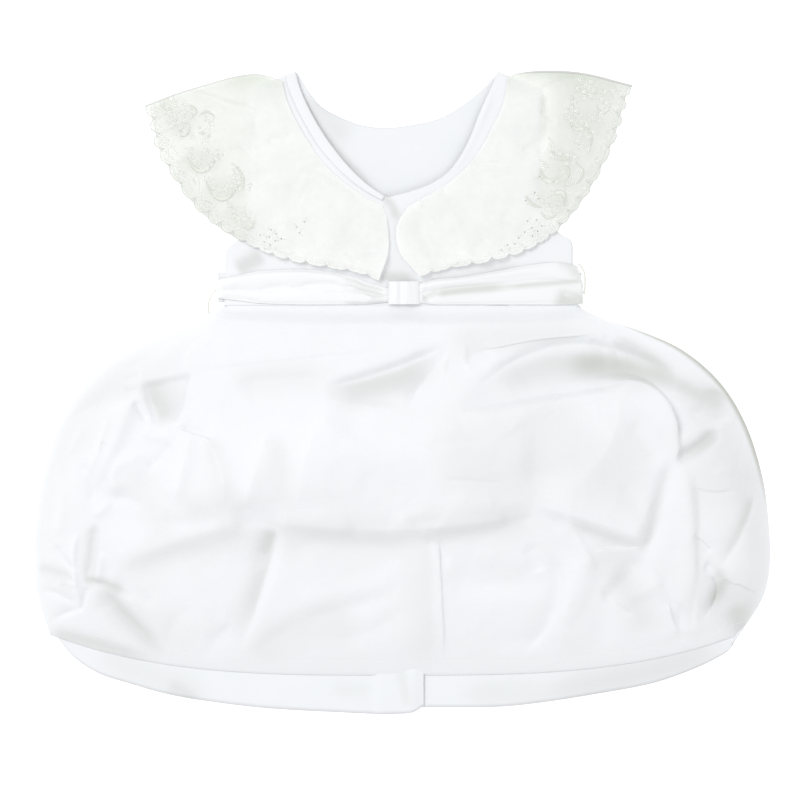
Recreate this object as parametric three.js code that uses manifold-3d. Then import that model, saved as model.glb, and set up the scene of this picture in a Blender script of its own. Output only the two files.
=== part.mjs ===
// Christening gown of white cotton for a baby of about twelve months, laid flat on its back.
// Millimetres. +X is the right of the flat gown, +Y points to the neck, +Z up from what it lies on.

import * as THREE from 'three';
import Module from 'manifold-3d';
import { mergeVertices } from 'three/addons/utils/BufferGeometryUtils.js';

const wasm = await Module();
wasm.setup();

// Cloth and seams
const SEAM = 0.3;
const COTTON = 1.2;
const ORGANZA = 1.0;
const LOOP_THREAD = 1.1;

// Heights of the layers that lie on each other, measured to their undersides
const BACK_REST = COTTON + 0.1;
const FRONT_REST = BACK_REST + COTTON + SEAM;
const FRONT_TOP = FRONT_REST + COTTON;
const CHEST_PUFF = 3.5;

// Waist
const WAIST_Y = 64;
const WAIST_HALF = 131;
const BODICE_FOOT_Y = WAIST_Y + SEAM;

// Skirt sections from the waist to the front hem: the fold at each side, its height, the rise to the
// middle and the round that turns the cloth under
const SKIRT_SECTIONS = [
  { down: 0.0, left: -132, right: 131, sideY: 64, midY: 64, side: 5, crown: 4, round: 6 },
  { down: 0.07, left: -146, right: 149, sideY: 55, midY: 49, side: 12, crown: 6, round: 14 },
  { down: 0.16, left: -172, right: 176, sideY: 46, midY: 27, side: 18, crown: 7, round: 24 },
  { down: 0.25, left: -201, right: 207, sideY: 32, midY: 0, side: 22, crown: 8, round: 30 },
  { down: 0.36, left: -231, right: 235, sideY: 8, midY: -30, side: 24, crown: 8, round: 34 },
  { down: 0.47, left: -252, right: 254, sideY: -23, midY: -60, side: 25, crown: 7, round: 36 },
  { down: 0.58, left: -264, right: 266, sideY: -60, midY: -92, side: 24, crown: 6, round: 36 },
  { down: 0.7, left: -270, right: 271, sideY: -94, midY: -125, side: 22, crown: 4, round: 34 },
  { down: 0.81, left: -272, right: 272, sideY: -128, midY: -158, side: 19, crown: 2, round: 30 },
  { down: 0.91, left: -269, right: 266, sideY: -153, midY: -186, side: 14, crown: 1, round: 26 },
  { down: 1.0, left: -260, right: 249, sideY: -179, midY: -209, side: 8, crown: 0, round: 18 },
];
const SKIRT_COLUMNS = 46;
const SKIRT_ROWS = 22;
const SAG_POWER = 3.2;
const ROUND_SHARE = 0.1;

// Folds of the skirt's front. Each runs from one point by way of a second to a third, rises or sinks
// by its height, and fades out over its reach on the left and on the right of that way.
const SKIRT_FOLDS = [
  { name: 'roll', from: [-200, -92], via: [-20, -48], to: [190, -62], rise: 15, left: 36, right: 40 },
  { name: 'roll foot left', from: [-208, -130], via: [-158, -104], to: [-90, -91], rise: 6, left: 26, right: 7 },
  { name: 'roll foot middle', from: [-104, -90], via: [0, -95], to: [100, -85], rise: 8, left: 28, right: 7 },
  { name: 'roll flap', from: [96, -82], via: [145, -96], to: [178, -107], rise: 9, left: 28, right: 7 },
  { name: 'roll end', from: [200, -34], via: [190, -72], to: [160, -138], rise: -8, left: 9, right: 11 },
  { name: 'right valley', from: [52, -8], via: [125, 14], to: [196, 12], rise: -14, left: 15, right: 10 },
  { name: 'middle hollow', from: [-54, 4], via: [-5, 9], to: [26, 23], rise: -8, left: 8, right: 13 },
  { name: 'cone', from: [46, 30], via: [16, 16], to: [-6, -6], rise: 5, left: 10, right: 12 },
  { name: 'left step', from: [-134, 50], via: [-158, 26], to: [-164, -18], rise: 6, left: 38, right: 7 },
  { name: 'left hollow', from: [-186, 10], via: [-176, -4], to: [-164, -20], rise: -7, left: 9, right: 9 },
  { name: 'pleat right', from: [30, -100], via: [35, -157], to: [38, -216], rise: 4, left: 4, right: 28 },
  { name: 'pleat left', from: [-84, -94], via: [-104, -146], to: [-124, -204], rise: -5, left: 9, right: 9 },
  { name: 'pleat crease high', from: [-84, -152], via: [-22, -146], to: [16, -114], rise: 3, left: 12, right: 12 },
  { name: 'pleat crease low', from: [-104, -190], via: [-53, -168], to: [8, -143], rise: -3, left: 12, right: 12 },
  { name: 'low right dip', from: [104, -112], via: [110, -150], to: [80, -202], rise: -5, left: 10, right: 11 },
  { name: 'low right rise', from: [130, -116], via: [124, -153], to: [114, -196], rise: 4, left: 12, right: 10 },
  { name: 'side seam', from: [196, -42], via: [207, -110], to: [211, -190], rise: 5, left: 6, right: 7 },
  { name: 'right edge dip', from: [211, 2], via: [240, -12], to: [264, -76], rise: -5, left: 8, right: 8 },
  { name: 'right pocket', from: [206, -6], via: [226, -18], to: [250, -10], rise: -4, left: 8, right: 8 },
  { name: 'right dip', from: [263, -62], via: [248, -95], to: [228, -130], rise: -6, left: 9, right: 9 },
  { name: 'right hole', from: [222, -126], via: [228, -150], to: [218, -174], rise: -6, left: 8, right: 8 },
  { name: 'left pinch', from: [-218, -88], via: [-226, -118], to: [-230, -146], rise: -7, left: 8, right: 8 },
  { name: 'left diagonal', from: [-230, -142], via: [-205, -165], to: [-168, -204], rise: -5, left: 8, right: 9 },
  { name: 'left crease', from: [-272, -150], via: [-252, -151], to: [-232, -155], rise: -4, left: 8, right: 8 },
  { name: 'left shoulder', from: [-195, 4], via: [-212, -45], to: [-229, -100], rise: 5, left: 8, right: 20 },
  { name: 'rib 1', from: [-154, -28], via: [-165, -57], to: [-168, -88], rise: 4, left: 8, right: 9 },
  { name: 'rib 2', from: [-100, -28], via: [-112, -58], to: [-112, -92], rise: 4, left: 8, right: 13 },
  { name: 'rib 3', from: [-52, -16], via: [-74, -46], to: [-72, -86], rise: 3, left: 13, right: 8 },
  { name: 'rib 4', from: [158, 6], via: [149, -36], to: [116, -76], rise: -4, left: 9, right: 10 },
];
const FOLD_STEPS = 10;
const LEAST_CLEARANCE = 3.4;

// Skirt back: its hem on each side of the overlap, and the roll of the left half over the right one
const OVERLAP_X = 16;
const OVERLAP = 20;
const OVERLAP_RISE = 12;
const BACK_INSET = 2.6;
const BACK_HEM_LEFT = [[-257, -178], [-242, -196], [-223, -208], [-201, -215], [-172, -223], [-112, -232],
  [-50, -236], [-9, -237.3], [8, -235.5], [OVERLAP_X, -231]];
const BACK_HEM_RIGHT = [[246, -180], [243, -189], [229, -198], [206, -208], [184, -215], [147, -222],
  [102, -229], [73, -232], [OVERLAP_X - OVERLAP, -232.5]];
const BACK_ROLL = { x: 8, rise: 2.5, reach: 6 };
const BACK_CROWDING = 1.7;

// Bodice outlines, each from its upper end down or from left to right
const ARMHOLE_LEFT = [[-107, 226], [-110, 198], [-109, 180], [-108, 150], [-110, 126], [-121, 113],
  [-129, 106], [-130, 96], [-131, 80], [-WAIST_HALF, BODICE_FOOT_Y]];
const ARMHOLE_RIGHT = [[104, 223], [103, 198], [102, 180], [104, 150], [110, 126], [116, 118],
  [125, 112], [126, 97], [128, 82], [WAIST_HALF - 1, BODICE_FOOT_Y]];
const NECK_LEFT = [-78, 237];
const NECK_RIGHT = [71, 237];
const FRONT_NECK_LEFT = [NECK_LEFT, [-75, 225], [-67, 207], [-55, 187], [-41, 169], [-27, 155], [-11, 144]];
const FRONT_NECK_RIGHT = [[-11, 144], [8, 149], [21, 154], [33, 162], [42, 173], [50, 188], [57, 206], NECK_RIGHT];
const BACK_NECK = [NECK_LEFT, [-61, 213], [-46, 204], [-30, 198], [-13, 196], [7, 198], [28, 203], [44, 212],
  [58, 223], NECK_RIGHT];

// Binding that shows along the left of the neck, from the shoulder to the point
const BINDING = [
  { x: -78.6, y: 236.6, width: 8.2 },
  { x: -75.4, y: 225, width: 8 },
  { x: -67.4, y: 207, width: 8 },
  { x: -55.4, y: 187, width: 8.2 },
  { x: -41.4, y: 169, width: 7.2 },
  { x: -27.4, y: 155, width: 5.4 },
  { x: -13, y: 144.4, width: 3.4 },
];
const BINDING_CLOTH = 1.0;

// Flounce collar: the line it is sewn along, its scalloped edge, its fold at the shoulder and its
// end at the middle of the front
const COLLARS = {
  left: {
    neck: [[-88, 230], [-85, 217], [-79, 203], [-70, 187], [-59, 171], [-46, 158], [-31, 147], [-14, 138]],
    edge: [[-190, 212], [-186, 196], [-182, 180], [-169, 158], [-154, 137], [-137, 122], [-116, 110],
      [-88, 98], [-59, 92], [-35, 88], [-17, 82]],
    fold: [[-88, 230], [-108, 235], [-157, 224], [-190, 212]],
    front: [[-14, 138], [-10.5, 124], [-10, 104], [-17, 82]],
  },
  right: {
    neck: [[78, 233], [74, 212], [66, 195], [58, 180], [47, 166], [36, 156], [22, 147], [4, 137]],
    edge: [[170, 227], [165, 210], [161, 195], [151, 171], [140, 150], [127, 132], [111, 116], [89, 103],
      [61, 95], [36, 91], [13, 85]],
    fold: [[78, 233], [88, 236], [131, 236.2], [170, 227]],
    front: [[4, 137], [-4, 122], [-2, 104], [13, 85]],
  },
};
const SCALLOPS = 9;
const SCALLOP_COLUMNS = 5;
const SCALLOP_DEPTH = 6;
const COLLAR_ROWS = 7;
const COLLAR_LIFT = 0.3;
const COLLAR_WAVES = 7;
const COLLAR_WAVE_RISE = 2.2;
const SLIT = { length: 9, width: 2.2, inwards: 8.5, depth: 12 };

// Sash across the waist: its edges and the groove between its two folds
const SASH_LEFT = [
  { x: -137, top: 83, groove: 76, foot: 70 },
  { x: -120, top: 87, groove: 76, foot: 68 },
  { x: -104, top: 90, groove: 76, foot: 66 },
  { x: -75, top: 91, groove: 78, foot: 65 },
  { x: -53, top: 89, groove: 79, foot: 65 },
  { x: -38, top: 86, groove: 77, foot: 65 },
  { x: -24, top: 81, groove: 73, foot: 65.5 },
  { x: -10.6, top: 77, groove: 71, foot: 67 },
];
const SASH_RIGHT = [
  { x: 13.6, top: 81, groove: 73, foot: 66 },
  { x: 28, top: 84, groove: 74, foot: 65 },
  { x: 43, top: 85, groove: 76, foot: 65 },
  { x: 73, top: 90, groove: 78, foot: 65 },
  { x: 102, top: 95, groove: 81, foot: 65 },
  { x: 121, top: 96, groove: 82, foot: 65 },
  { x: 133.6, top: 94, groove: 81, foot: 66 },
];
const SASH_RIGHT_SLANT = 4;
const SASH_CLOTH = 1.2;
const SASH_FOLD_RISE = 1.6;
const SASH_TOP_Y = 97;
const SASH_BACK = { left: -136, right: 132.6, foot: 67, top: 89, cloth: 1.0 };
const KNOT = { left: -10.2, right: 13.2, foot: 65, top: 82, cloth: 2, rise: 3, groove: 0.42 };

// Thread loops that carry the sash at each side seam
const LOOP_LEFT = [[-137.9, 76, 2], [-141, 72, 2.2], [-143, 66, 2.2], [-143, 60, 2], [-142.2, 58.6, 2]];
const LOOP_RIGHT = [[129.8, 96, 2.2], [132.8, 93, 2.4], [134.8, 88, 2.4], [135.2, 80, 2.2], [134.5, 73, 2.2]];

const COLOURS = {
  cotton: { color: 0xf6f6f4, roughness: 0.85, metalness: 0 },
  lining: { color: 0xf2f3f2, roughness: 0.85, metalness: 0 },
  satin: { color: 0xf8f7f3, roughness: 0.6, metalness: 0 },
  organza: { color: 0xf1f3ec, roughness: 0.7, metalness: 0 },
  thread: { color: 0xf4f2ea, roughness: 0.8, metalness: 0 },
};

const gown = new THREE.Group();

function smooth(start, end, value) {
  const t = Math.min(1, Math.max(0, (value - start) / (end - start)));
  return t * t * (3 - 2 * t);
}

function mix(a, b, t) {
  return a + (b - a) * t;
}

// A smooth line in the plane through hand-set points, read from 0 to 1 along its length
function line(points) {
  const curve = new THREE.CatmullRomCurve3(points.map(([x, y]) => new THREE.Vector3(x, y, 0)), false, 'centripetal');
  return (t) => curve.getPointAt(Math.min(1, Math.max(0, t)));
}

// Several lines end to end, each over its share of 0 to 1
function joined(parts) {
  const total = parts.reduce((sum, part) => sum + part.share, 0);
  return (t) => {
    let start = 0;
    for (const part of parts) {
      const share = part.share / total;
      if (t <= start + share || part === parts[parts.length - 1]) return part.along((t - start) / share);
      start += share;
    }
    return null;
  };
}

// A patch of cloth between four edges: across runs from left to right and down from top to bottom
function patch({ top, bottom, left, right }) {
  return (across, down) => {
    const point = new THREE.Vector3();
    point.addScaledVector(top(across), 1 - down);
    point.addScaledVector(bottom(across), down);
    point.addScaledVector(left(down), 1 - across);
    point.addScaledVector(right(down), across);
    point.addScaledVector(top(0), -(1 - across) * (1 - down));
    point.addScaledVector(top(1), -across * (1 - down));
    point.addScaledVector(bottom(0), -(1 - across) * down);
    point.addScaledVector(bottom(1), -across * down);
    return point;
  };
}

// The row of a table at a place along one of its columns, smoothly between the rows given
function rowAt(table, column, place) {
  let index = 0;
  while (index < table.length - 2 && place > table[index + 1][column]) index += 1;
  const rows = [index - 1, index, index + 1, index + 2].map((i) => table[Math.min(table.length - 1, Math.max(0, i))]);
  const [before, start, end, after] = rows;
  const span = end[column] - start[column];
  const t = Math.min(1, Math.max(0, (place - start[column]) / span));
  const row = {};
  for (const key of Object.keys(start)) {
    const slopeIn = (span * (end[key] - before[key])) / (end[column] - before[column]);
    const slopeOut = (span * (after[key] - start[key])) / (after[column] - start[column]);
    row[key] = (2 * t ** 3 - 3 * t ** 2 + 1) * start[key] + (t ** 3 - 2 * t ** 2 + t) * slopeIn
      + (3 * t ** 2 - 2 * t ** 3) * end[key] + (t ** 3 - t ** 2) * slopeOut;
  }
  return row;
}

// Triangles of a closed wall between two grids of points of the same size
function wall(columns, rows, upper, lower) {
  const positions = [];
  for (const surface of [upper, lower]) {
    for (let row = 0; row <= rows; row += 1) {
      for (let column = 0; column <= columns; column += 1) {
        positions.push(...surface(column / columns, row / rows).toArray());
      }
    }
  }
  const count = (columns + 1) * (rows + 1);
  const at = (column, row) => row * (columns + 1) + column;
  const triangles = [];
  const quad = (a, b, c, d) => triangles.push(a, b, c, a, c, d);
  for (let row = 0; row < rows; row += 1) {
    for (let column = 0; column < columns; column += 1) {
      const corners = [at(column, row), at(column, row + 1), at(column + 1, row + 1), at(column + 1, row)];
      quad(...corners);
      quad(...corners.reverse().map((corner) => corner + count));
    }
  }
  const rim = [];
  for (let column = 0; column < columns; column += 1) rim.push(at(column, 0));
  for (let row = 0; row < rows; row += 1) rim.push(at(columns, row));
  for (let column = columns; column > 0; column -= 1) rim.push(at(column, rows));
  for (let row = rows; row > 0; row -= 1) rim.push(at(0, row));
  rim.forEach((corner, i) => {
    const next = rim[(i + 1) % rim.length];
    quad(corner, next, next + count, corner + count);
  });
  return facingOut(new Float32Array(positions), triangles);
}

// A geometry whose triangles point out of the solid, whichever way round its grid ran
function facingOut(positions, triangles) {
  let volume = 0;
  const corner = (i) => new THREE.Vector3().fromArray(positions, triangles[i] * 3);
  for (let i = 0; i < triangles.length; i += 3) {
    volume += corner(i).dot(corner(i + 1).cross(corner(i + 2)));
  }
  const geometry = new THREE.BufferGeometry();
  geometry.setAttribute('position', new THREE.BufferAttribute(positions, 3));
  geometry.setIndex(volume < 0 ? [...triangles].reverse() : triangles);
  return geometry;
}

function solid(geometry) {
  const bare = geometry.clone();
  bare.deleteAttribute('normal');
  bare.deleteAttribute('uv');
  const merged = mergeVertices(bare, 1e-4);
  const mesh = new wasm.Mesh({
    numProp: 3,
    vertProperties: new Float32Array(merged.attributes.position.array),
    triVerts: new Uint32Array(merged.index.array),
  });
  return new wasm.Manifold(mesh);
}

function cutThrough(geometry, cutters) {
  const left = cutters.reduce((body, cutter) => body.subtract(solid(cutter)), solid(geometry));
  const mesh = left.getMesh();
  const result = new THREE.BufferGeometry();
  result.setAttribute('position', new THREE.BufferAttribute(new Float32Array(mesh.vertProperties), 3));
  result.setIndex([...mesh.triVerts]);
  return result;
}

function add(name, geometry, finish) {
  geometry.computeVertexNormals();
  const mesh = new THREE.Mesh(geometry, new THREE.MeshStandardMaterial(COLOURS[finish]));
  mesh.name = name;
  gown.add(mesh);
}

const raised = (point, height) => new THREE.Vector3(point.x, point.y, height);

// Top of the bodice's front, which swells a little over the air in it
function bodiceTop(x, y) {
  const across = Math.max(0, 1 - (x / WAIST_HALF) ** 2);
  return FRONT_TOP + CHEST_PUFF * across * (1 - 0.6 * smooth(120, 235, y));
}

// Rise or fall of the skirt's front at a point, from one fold
function foldAt({ from, via, to, rise, left, right }, x, y) {
  const bend = [2 * via[0] - (from[0] + to[0]) / 2, 2 * via[1] - (from[1] + to[1]) / 2];
  const along = (t) => [0, 1].map((i) => (1 - t) ** 2 * from[i] + 2 * t * (1 - t) * bend[i] + t ** 2 * to[i]);
  let nearest = { distance: Infinity, t: 0, side: 0 };
  for (let step = 0; step < FOLD_STEPS; step += 1) {
    const start = along(step / FOLD_STEPS);
    const end = along((step + 1) / FOLD_STEPS);
    const run = [end[0] - start[0], end[1] - start[1]];
    const reach = ((x - start[0]) * run[0] + (y - start[1]) * run[1]) / (run[0] ** 2 + run[1] ** 2);
    const t = Math.min(1, Math.max(0, reach));
    const off = [x - start[0] - t * run[0], y - start[1] - t * run[1]];
    const distance = Math.hypot(...off);
    if (distance < nearest.distance) {
      nearest = { distance, t: (step + t) / FOLD_STEPS, side: run[0] * off[1] - run[1] * off[0] };
    }
  }
  const width = nearest.side > 0 ? left : right;
  return rise * Math.sin(Math.PI * nearest.t) ** 0.6 * Math.exp(-((nearest.distance / width) ** 2));
}

// Outer face of the skirt's front: domed over air, turned under at both sides, with its folds
function skirtOuter(across, down) {
  const { left, right, sideY, midY, side, crown, round } = rowAt(SKIRT_SECTIONS, 'down', down);
  const edge = Math.min(across, 1 - across) / ROUND_SHARE;
  const turn = (Math.PI / 2) * Math.min(1, edge);
  const inner = round * (1 - Math.cos(turn));
  const flat = (right - left - 2 * round) * (across - ROUND_SHARE) / (1 - 2 * ROUND_SHARE);
  let x = left + round + flat;
  if (edge < 1) x = across < 0.5 ? left + inner : right - inner;
  const middle = 1 - Math.abs((2 * (x - left)) / (right - left) - 1) ** SAG_POWER;
  const y = mix(sideY, midY, middle);
  const dome = side * Math.sin(turn) + crown * middle * smooth(0.8, 1, Math.sin(turn));
  const folds = SKIRT_FOLDS.reduce((sum, fold) => sum + foldAt(fold, x, y), 0);
  const loose = smooth(0.02, 0.14, down) * smooth(0.45, 1, Math.sin(turn));
  const least = LEAST_CLEARANCE * smooth(0.4, 0.8, Math.sin(turn));
  const free = Math.max(least, dome + folds * loose);
  const sewn = bodiceTop(x, WAIST_Y) * Math.sin(turn);
  return new THREE.Vector3(x, y, mix(sewn, free, smooth(0, 0.07, down)));
}

// The inner face lies one thickness of cloth inside the outer one
function skirtInner(across, down) {
  const step = 0.004;
  const [left, right] = [Math.max(0, across - step), Math.min(1, across + step)];
  const [above, below] = [Math.max(0, down - step), Math.min(1, down + step)];
  const sideways = skirtOuter(right, down).sub(skirtOuter(left, down));
  const normal = skirtOuter(across, above).sub(skirtOuter(across, below)).cross(sideways).negate().normalize();
  const point = skirtOuter(across, down).addScaledVector(normal, -COTTON);
  point.z = Math.max(0, point.z);
  return point;
}

// Outline of the skirt's side, moved in so that the back lies inside the front's turned edge
function skirtSide(side) {
  const sign = side === 'left' ? 1 : -1;
  const points = SKIRT_SECTIONS.map(({ sideY, ...row }) => [row[side], sideY]);
  const moved = points.map(([x, y], i) => {
    const before = points[Math.max(0, i - 1)];
    const after = points[Math.min(points.length - 1, i + 1)];
    const run = [after[0] - before[0], after[1] - before[1]];
    const length = Math.hypot(...run);
    return [x - (sign * BACK_INSET * run[1]) / length, y + (sign * BACK_INSET * run[0]) / length];
  });
  const slope = [points[1][0] - points[0][0], points[1][1] - points[0][1]];
  moved[0] = [points[0][0] + (sign * BACK_INSET * Math.hypot(...slope)) / -slope[1], WAIST_Y];
  return moved;
}

function buildSkirtFront() {
  add('skirt_front', wall(SKIRT_COLUMNS, SKIRT_ROWS, skirtOuter, skirtInner), 'cotton');
}

function buildSkirtBack() {
  const halves = {
    left: { hem: BACK_HEM_LEFT, middle: OVERLAP_X },
    right: { hem: BACK_HEM_RIGHT, middle: OVERLAP_X - OVERLAP },
  };
  for (const [side, { hem, middle }] of Object.entries(halves)) {
    const outline = skirtSide(side).slice(0, -1);
    outline.push(hem[0]);
    const cloth = patch({
      left: line(outline),
      right: line([[middle, WAIST_Y], hem[hem.length - 1]]),
      top: line([outline[0], [middle, WAIST_Y]]),
      bottom: line(hem),
    });
    const lift = ({ x, y }) => {
      if (side === 'right') return 0;
      const roll = Math.exp(-(((x - BACK_ROLL.x) / BACK_ROLL.reach) ** 2)) * smooth(-190, -215, y);
      const start = OVERLAP_X - OVERLAP - OVERLAP_RISE;
      const over = smooth(start - 6, start, x);
      return over * (COTTON + SEAM) + BACK_ROLL.rise * roll;
    };
    const lower = (across, down) => {
      const point = cloth(side === 'left' ? 1 - (1 - across) ** BACK_CROWDING : across, down);
      return raised(point, lift(point));
    };
    const upper = (across, down) => lower(across, down).add(new THREE.Vector3(0, 0, COTTON));
    add(`skirt_back_${side}`, wall(side === 'left' ? 18 : 12, 12, upper, lower), 'lining');
  }
}

function buildBodice() {
  const shoulder = (side, end) => line([side[0], end]);
  const front = patch({
    left: line(ARMHOLE_LEFT),
    right: line(ARMHOLE_RIGHT),
    top: joined([
      { share: 2, along: shoulder(ARMHOLE_LEFT, NECK_LEFT) },
      { share: 8, along: line(FRONT_NECK_LEFT) },
      { share: 8, along: line(FRONT_NECK_RIGHT) },
      { share: 2, along: line([NECK_RIGHT, ARMHOLE_RIGHT[0]]) },
    ]),
    bottom: line([ARMHOLE_LEFT.at(-1), ARMHOLE_RIGHT.at(-1)]),
  });
  const frontUpper = (across, down) => {
    const point = front(across, down);
    return raised(point, bodiceTop(point.x, point.y));
  };
  const frontLower = (across, down) => frontUpper(across, down).sub(new THREE.Vector3(0, 0, COTTON));
  add('bodice_front', wall(20, 12, frontUpper, frontLower), 'cotton');

  const back = patch({
    left: line(ARMHOLE_LEFT),
    right: line(ARMHOLE_RIGHT),
    top: joined([
      { share: 2, along: shoulder(ARMHOLE_LEFT, NECK_LEFT) },
      { share: 12, along: line(BACK_NECK) },
      { share: 2, along: line([NECK_RIGHT, ARMHOLE_RIGHT[0]]) },
    ]),
    bottom: line([ARMHOLE_LEFT.at(-1), ARMHOLE_RIGHT.at(-1)]),
  });
  const backLower = (across, down) => raised(back(across, down), BACK_REST);
  const backUpper = (across, down) => raised(back(across, down), BACK_REST + COTTON);
  add('bodice_back', wall(16, 10, backUpper, backLower), 'lining');
}

function buildNeckBinding() {
  const centre = line(BINDING.map(({ x, y }) => [x, y]));
  const width = (t) => rowAt(BINDING.map((row, i) => ({ ...row, t: i / (BINDING.length - 1) })), 't', t).width;
  const lower = (along, out) => {
    const point = centre(along);
    const run = centre(along + 0.01).sub(centre(along - 0.01)).normalize();
    const aside = new THREE.Vector3(run.y, -run.x, 0).multiplyScalar(width(along) * out);
    point.add(aside);
    return raised(point, bodiceTop(point.x, point.y) + SEAM);
  };
  const upper = (along, out) => lower(along, out).add(new THREE.Vector3(0, 0, BINDING_CLOTH));
  add('neck_binding', wall(16, 2, upper, lower), 'cotton');
}

// Height that a collar lies on: the bodice, the sash's upper fold, and past the armhole almost the floor
function underCollar(x, y, armhole) {
  const sash = (SASH_CLOTH + SASH_FOLD_RISE + SEAM) * smooth(SASH_TOP_Y + 8, SASH_TOP_Y, y);
  const past = smooth(armhole, armhole + 50, Math.abs(x));
  return bodiceTop(x, y) + sash * smooth(WAIST_HALF + 12, WAIST_HALF, Math.abs(x)) - 1.5 * past;
}

function collarPatch({ neck, edge, fold, front }) {
  const plain = line(edge);
  const scalloped = (t) => {
    const run = plain(t + 0.01).sub(plain(t - 0.01)).normalize();
    const inwards = new THREE.Vector3(-run.y, run.x, 0);
    if (inwards.dot(plain(t).sub(line(neck)(t))) > 0) inwards.negate();
    const arch = Math.abs(Math.sin(Math.PI * SCALLOPS * t)) ** 0.7;
    const ends = smooth(0, 0.03, t) * smooth(1, 0.97, t);
    return plain(t).addScaledVector(inwards, SCALLOP_DEPTH * (1 - arch) * ends);
  };
  return patch({ top: line(neck), bottom: scalloped, left: line(fold), right: line(front) });
}

function buildCollar(side) {
  const cloth = collarPatch(COLLARS[side]);
  const armhole = side === 'left' ? 108 : 103;
  const flutes = (along, out) => COLLAR_WAVE_RISE * out ** 1.5 * (1 - 0.6 * along)
    * (0.5 - 0.5 * Math.cos(2 * Math.PI * COLLAR_WAVES * along));
  const lower = (along, out) => {
    const point = cloth(along, out);
    return raised(point, underCollar(point.x, point.y, armhole) + COLLAR_LIFT + flutes(along, out));
  };
  const upper = (along, out) => lower(along, out).add(new THREE.Vector3(0, 0, ORGANZA));
  const columns = SCALLOPS * SCALLOP_COLUMNS;
  const ruffle = wall(columns, COLLAR_ROWS, upper, lower);
  const edge = line(COLLARS[side].edge);
  const slits = [];
  for (let scallop = 0; scallop < SCALLOPS; scallop += 1) {
    const t = (scallop + 0.5) / SCALLOPS;
    const run = edge(t + 0.01).sub(edge(t - 0.01));
    const centre = edge(t);
    const inwards = line(COLLARS[side].neck)(t).sub(centre).normalize();
    centre.addScaledVector(inwards, SLIT.inwards);
    const slit = new THREE.CylinderGeometry(0.5, 0.5, 1, 8);
    slit.rotateX(Math.PI / 2);
    slit.scale(SLIT.length, SLIT.width, SLIT.depth);
    slit.rotateZ(Math.atan2(run.y, run.x));
    slit.translate(centre.x, centre.y, FRONT_TOP + SLIT.depth / 4);
    slits.push(slit);
  }
  add(`collar_front_${side}`, cutThrough(ruffle, slits), 'organza');
}

// The half behind the shoulder lies on the floor, a little inside the front half
function buildCollarBack(side) {
  const { neck, edge, fold, front } = COLLARS[side];
  const inset = (points) => points.map(([x, y]) => [x * 0.97, y * 0.97 + 4]);
  const hidden = { neck: inset(neck), edge: inset(edge), fold: inset(fold), front: inset(front) };
  const cloth = collarPatch(hidden);
  const lower = (along, out) => raised(cloth(along * 0.72, out), 0);
  const upper = (along, out) => raised(cloth(along * 0.72, out), ORGANZA);
  add(`collar_back_${side}`, wall(18, 3, upper, lower), 'organza');
}

// A wing of the sash is one cloth with two soft folds and a groove between them
function sashWing(table, inner, outer, slant) {
  const start = Math.sign(outer) * (WAIST_HALF + 2 * SEAM);
  const columns = 16;
  const at = (across, down) => {
    const out = (outer > 0 ? across : 1 - across) * columns;
    const place = out > columns - 1 ? mix(start, outer, out - columns + 1) : mix(inner, start, out / (columns - 1));
    const { top, groove, foot } = rowAt(table, 'x', place);
    const x = place - slant * Math.max(0, 1 - 2 * down) * smooth(0, outer, place);
    const y = down < 0.5 ? mix(top, groove, down * 2) : mix(groove, foot, down * 2 - 1);
    const past = smooth(Math.abs(start), Math.abs(outer), Math.abs(place));
    return raised({ x, y }, mix(bodiceTop(x, y) + SEAM, SASH_BACK.cloth + SEAM, past));
  };
  const upper = (across, down) => {
    const fold = Math.abs(Math.sin(2 * Math.PI * down)) ** 0.8;
    return at(across, down).add(new THREE.Vector3(0, 0, SASH_CLOTH + SASH_FOLD_RISE * fold));
  };
  return wall(columns, 6, upper, at);
}

function buildSash() {
  add('sash_left', sashWing(SASH_LEFT, SASH_LEFT.at(-1).x, SASH_LEFT[0].x, 0), 'satin');
  add('sash_right', sashWing(SASH_RIGHT, SASH_RIGHT[0].x, SASH_RIGHT.at(-1).x, SASH_RIGHT_SLANT), 'satin');

  const knotLower = (across, down) => {
    const x = mix(KNOT.left, KNOT.right, across);
    const y = mix(KNOT.top, KNOT.foot, down);
    return raised({ x, y }, bodiceTop(x, y) + SEAM);
  };
  const knotUpper = (across, down) => {
    const round = Math.sin(Math.PI * across) ** 0.5;
    const groove = 1 - 0.35 * Math.exp(-(((across - KNOT.groove) / 0.09) ** 2));
    const height = KNOT.cloth + KNOT.rise * round * groove * (1 - 0.2 * Math.abs(2 * down - 1) ** 3);
    return knotLower(across, down).add(new THREE.Vector3(0, 0, height));
  };
  add('sash_knot', wall(8, 4, knotUpper, knotLower), 'satin');

  const behind = patch({
    left: line([[SASH_BACK.left, SASH_BACK.top], [SASH_BACK.left, SASH_BACK.foot]]),
    right: line([[SASH_BACK.right, SASH_BACK.top], [SASH_BACK.right, SASH_BACK.foot]]),
    top: line([[SASH_BACK.left, SASH_BACK.top], [SASH_BACK.right, SASH_BACK.top]]),
    bottom: line([[SASH_BACK.left, SASH_BACK.foot], [SASH_BACK.right, SASH_BACK.foot]]),
  });
  const behindUpper = (across, down) => raised(behind(across, down), SASH_BACK.cloth);
  add('sash_back', wall(8, 2, behindUpper, (across, down) => raised(behind(across, down), 0)), 'satin');
}

function buildLoops() {
  const round = new THREE.Shape().absarc(0, 0, LOOP_THREAD / 2, 0, 2 * Math.PI);
  const loops = { left: LOOP_LEFT, right: LOOP_RIGHT };
  for (const [side, points] of Object.entries(loops)) {
    const path = new THREE.CatmullRomCurve3(points.map((point) => new THREE.Vector3(...point)));
    const loop = new THREE.ExtrudeGeometry(round, { steps: 12, extrudePath: path, curveSegments: 6 });
    add(`belt_loop_${side}`, loop, 'thread');
  }
}

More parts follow.
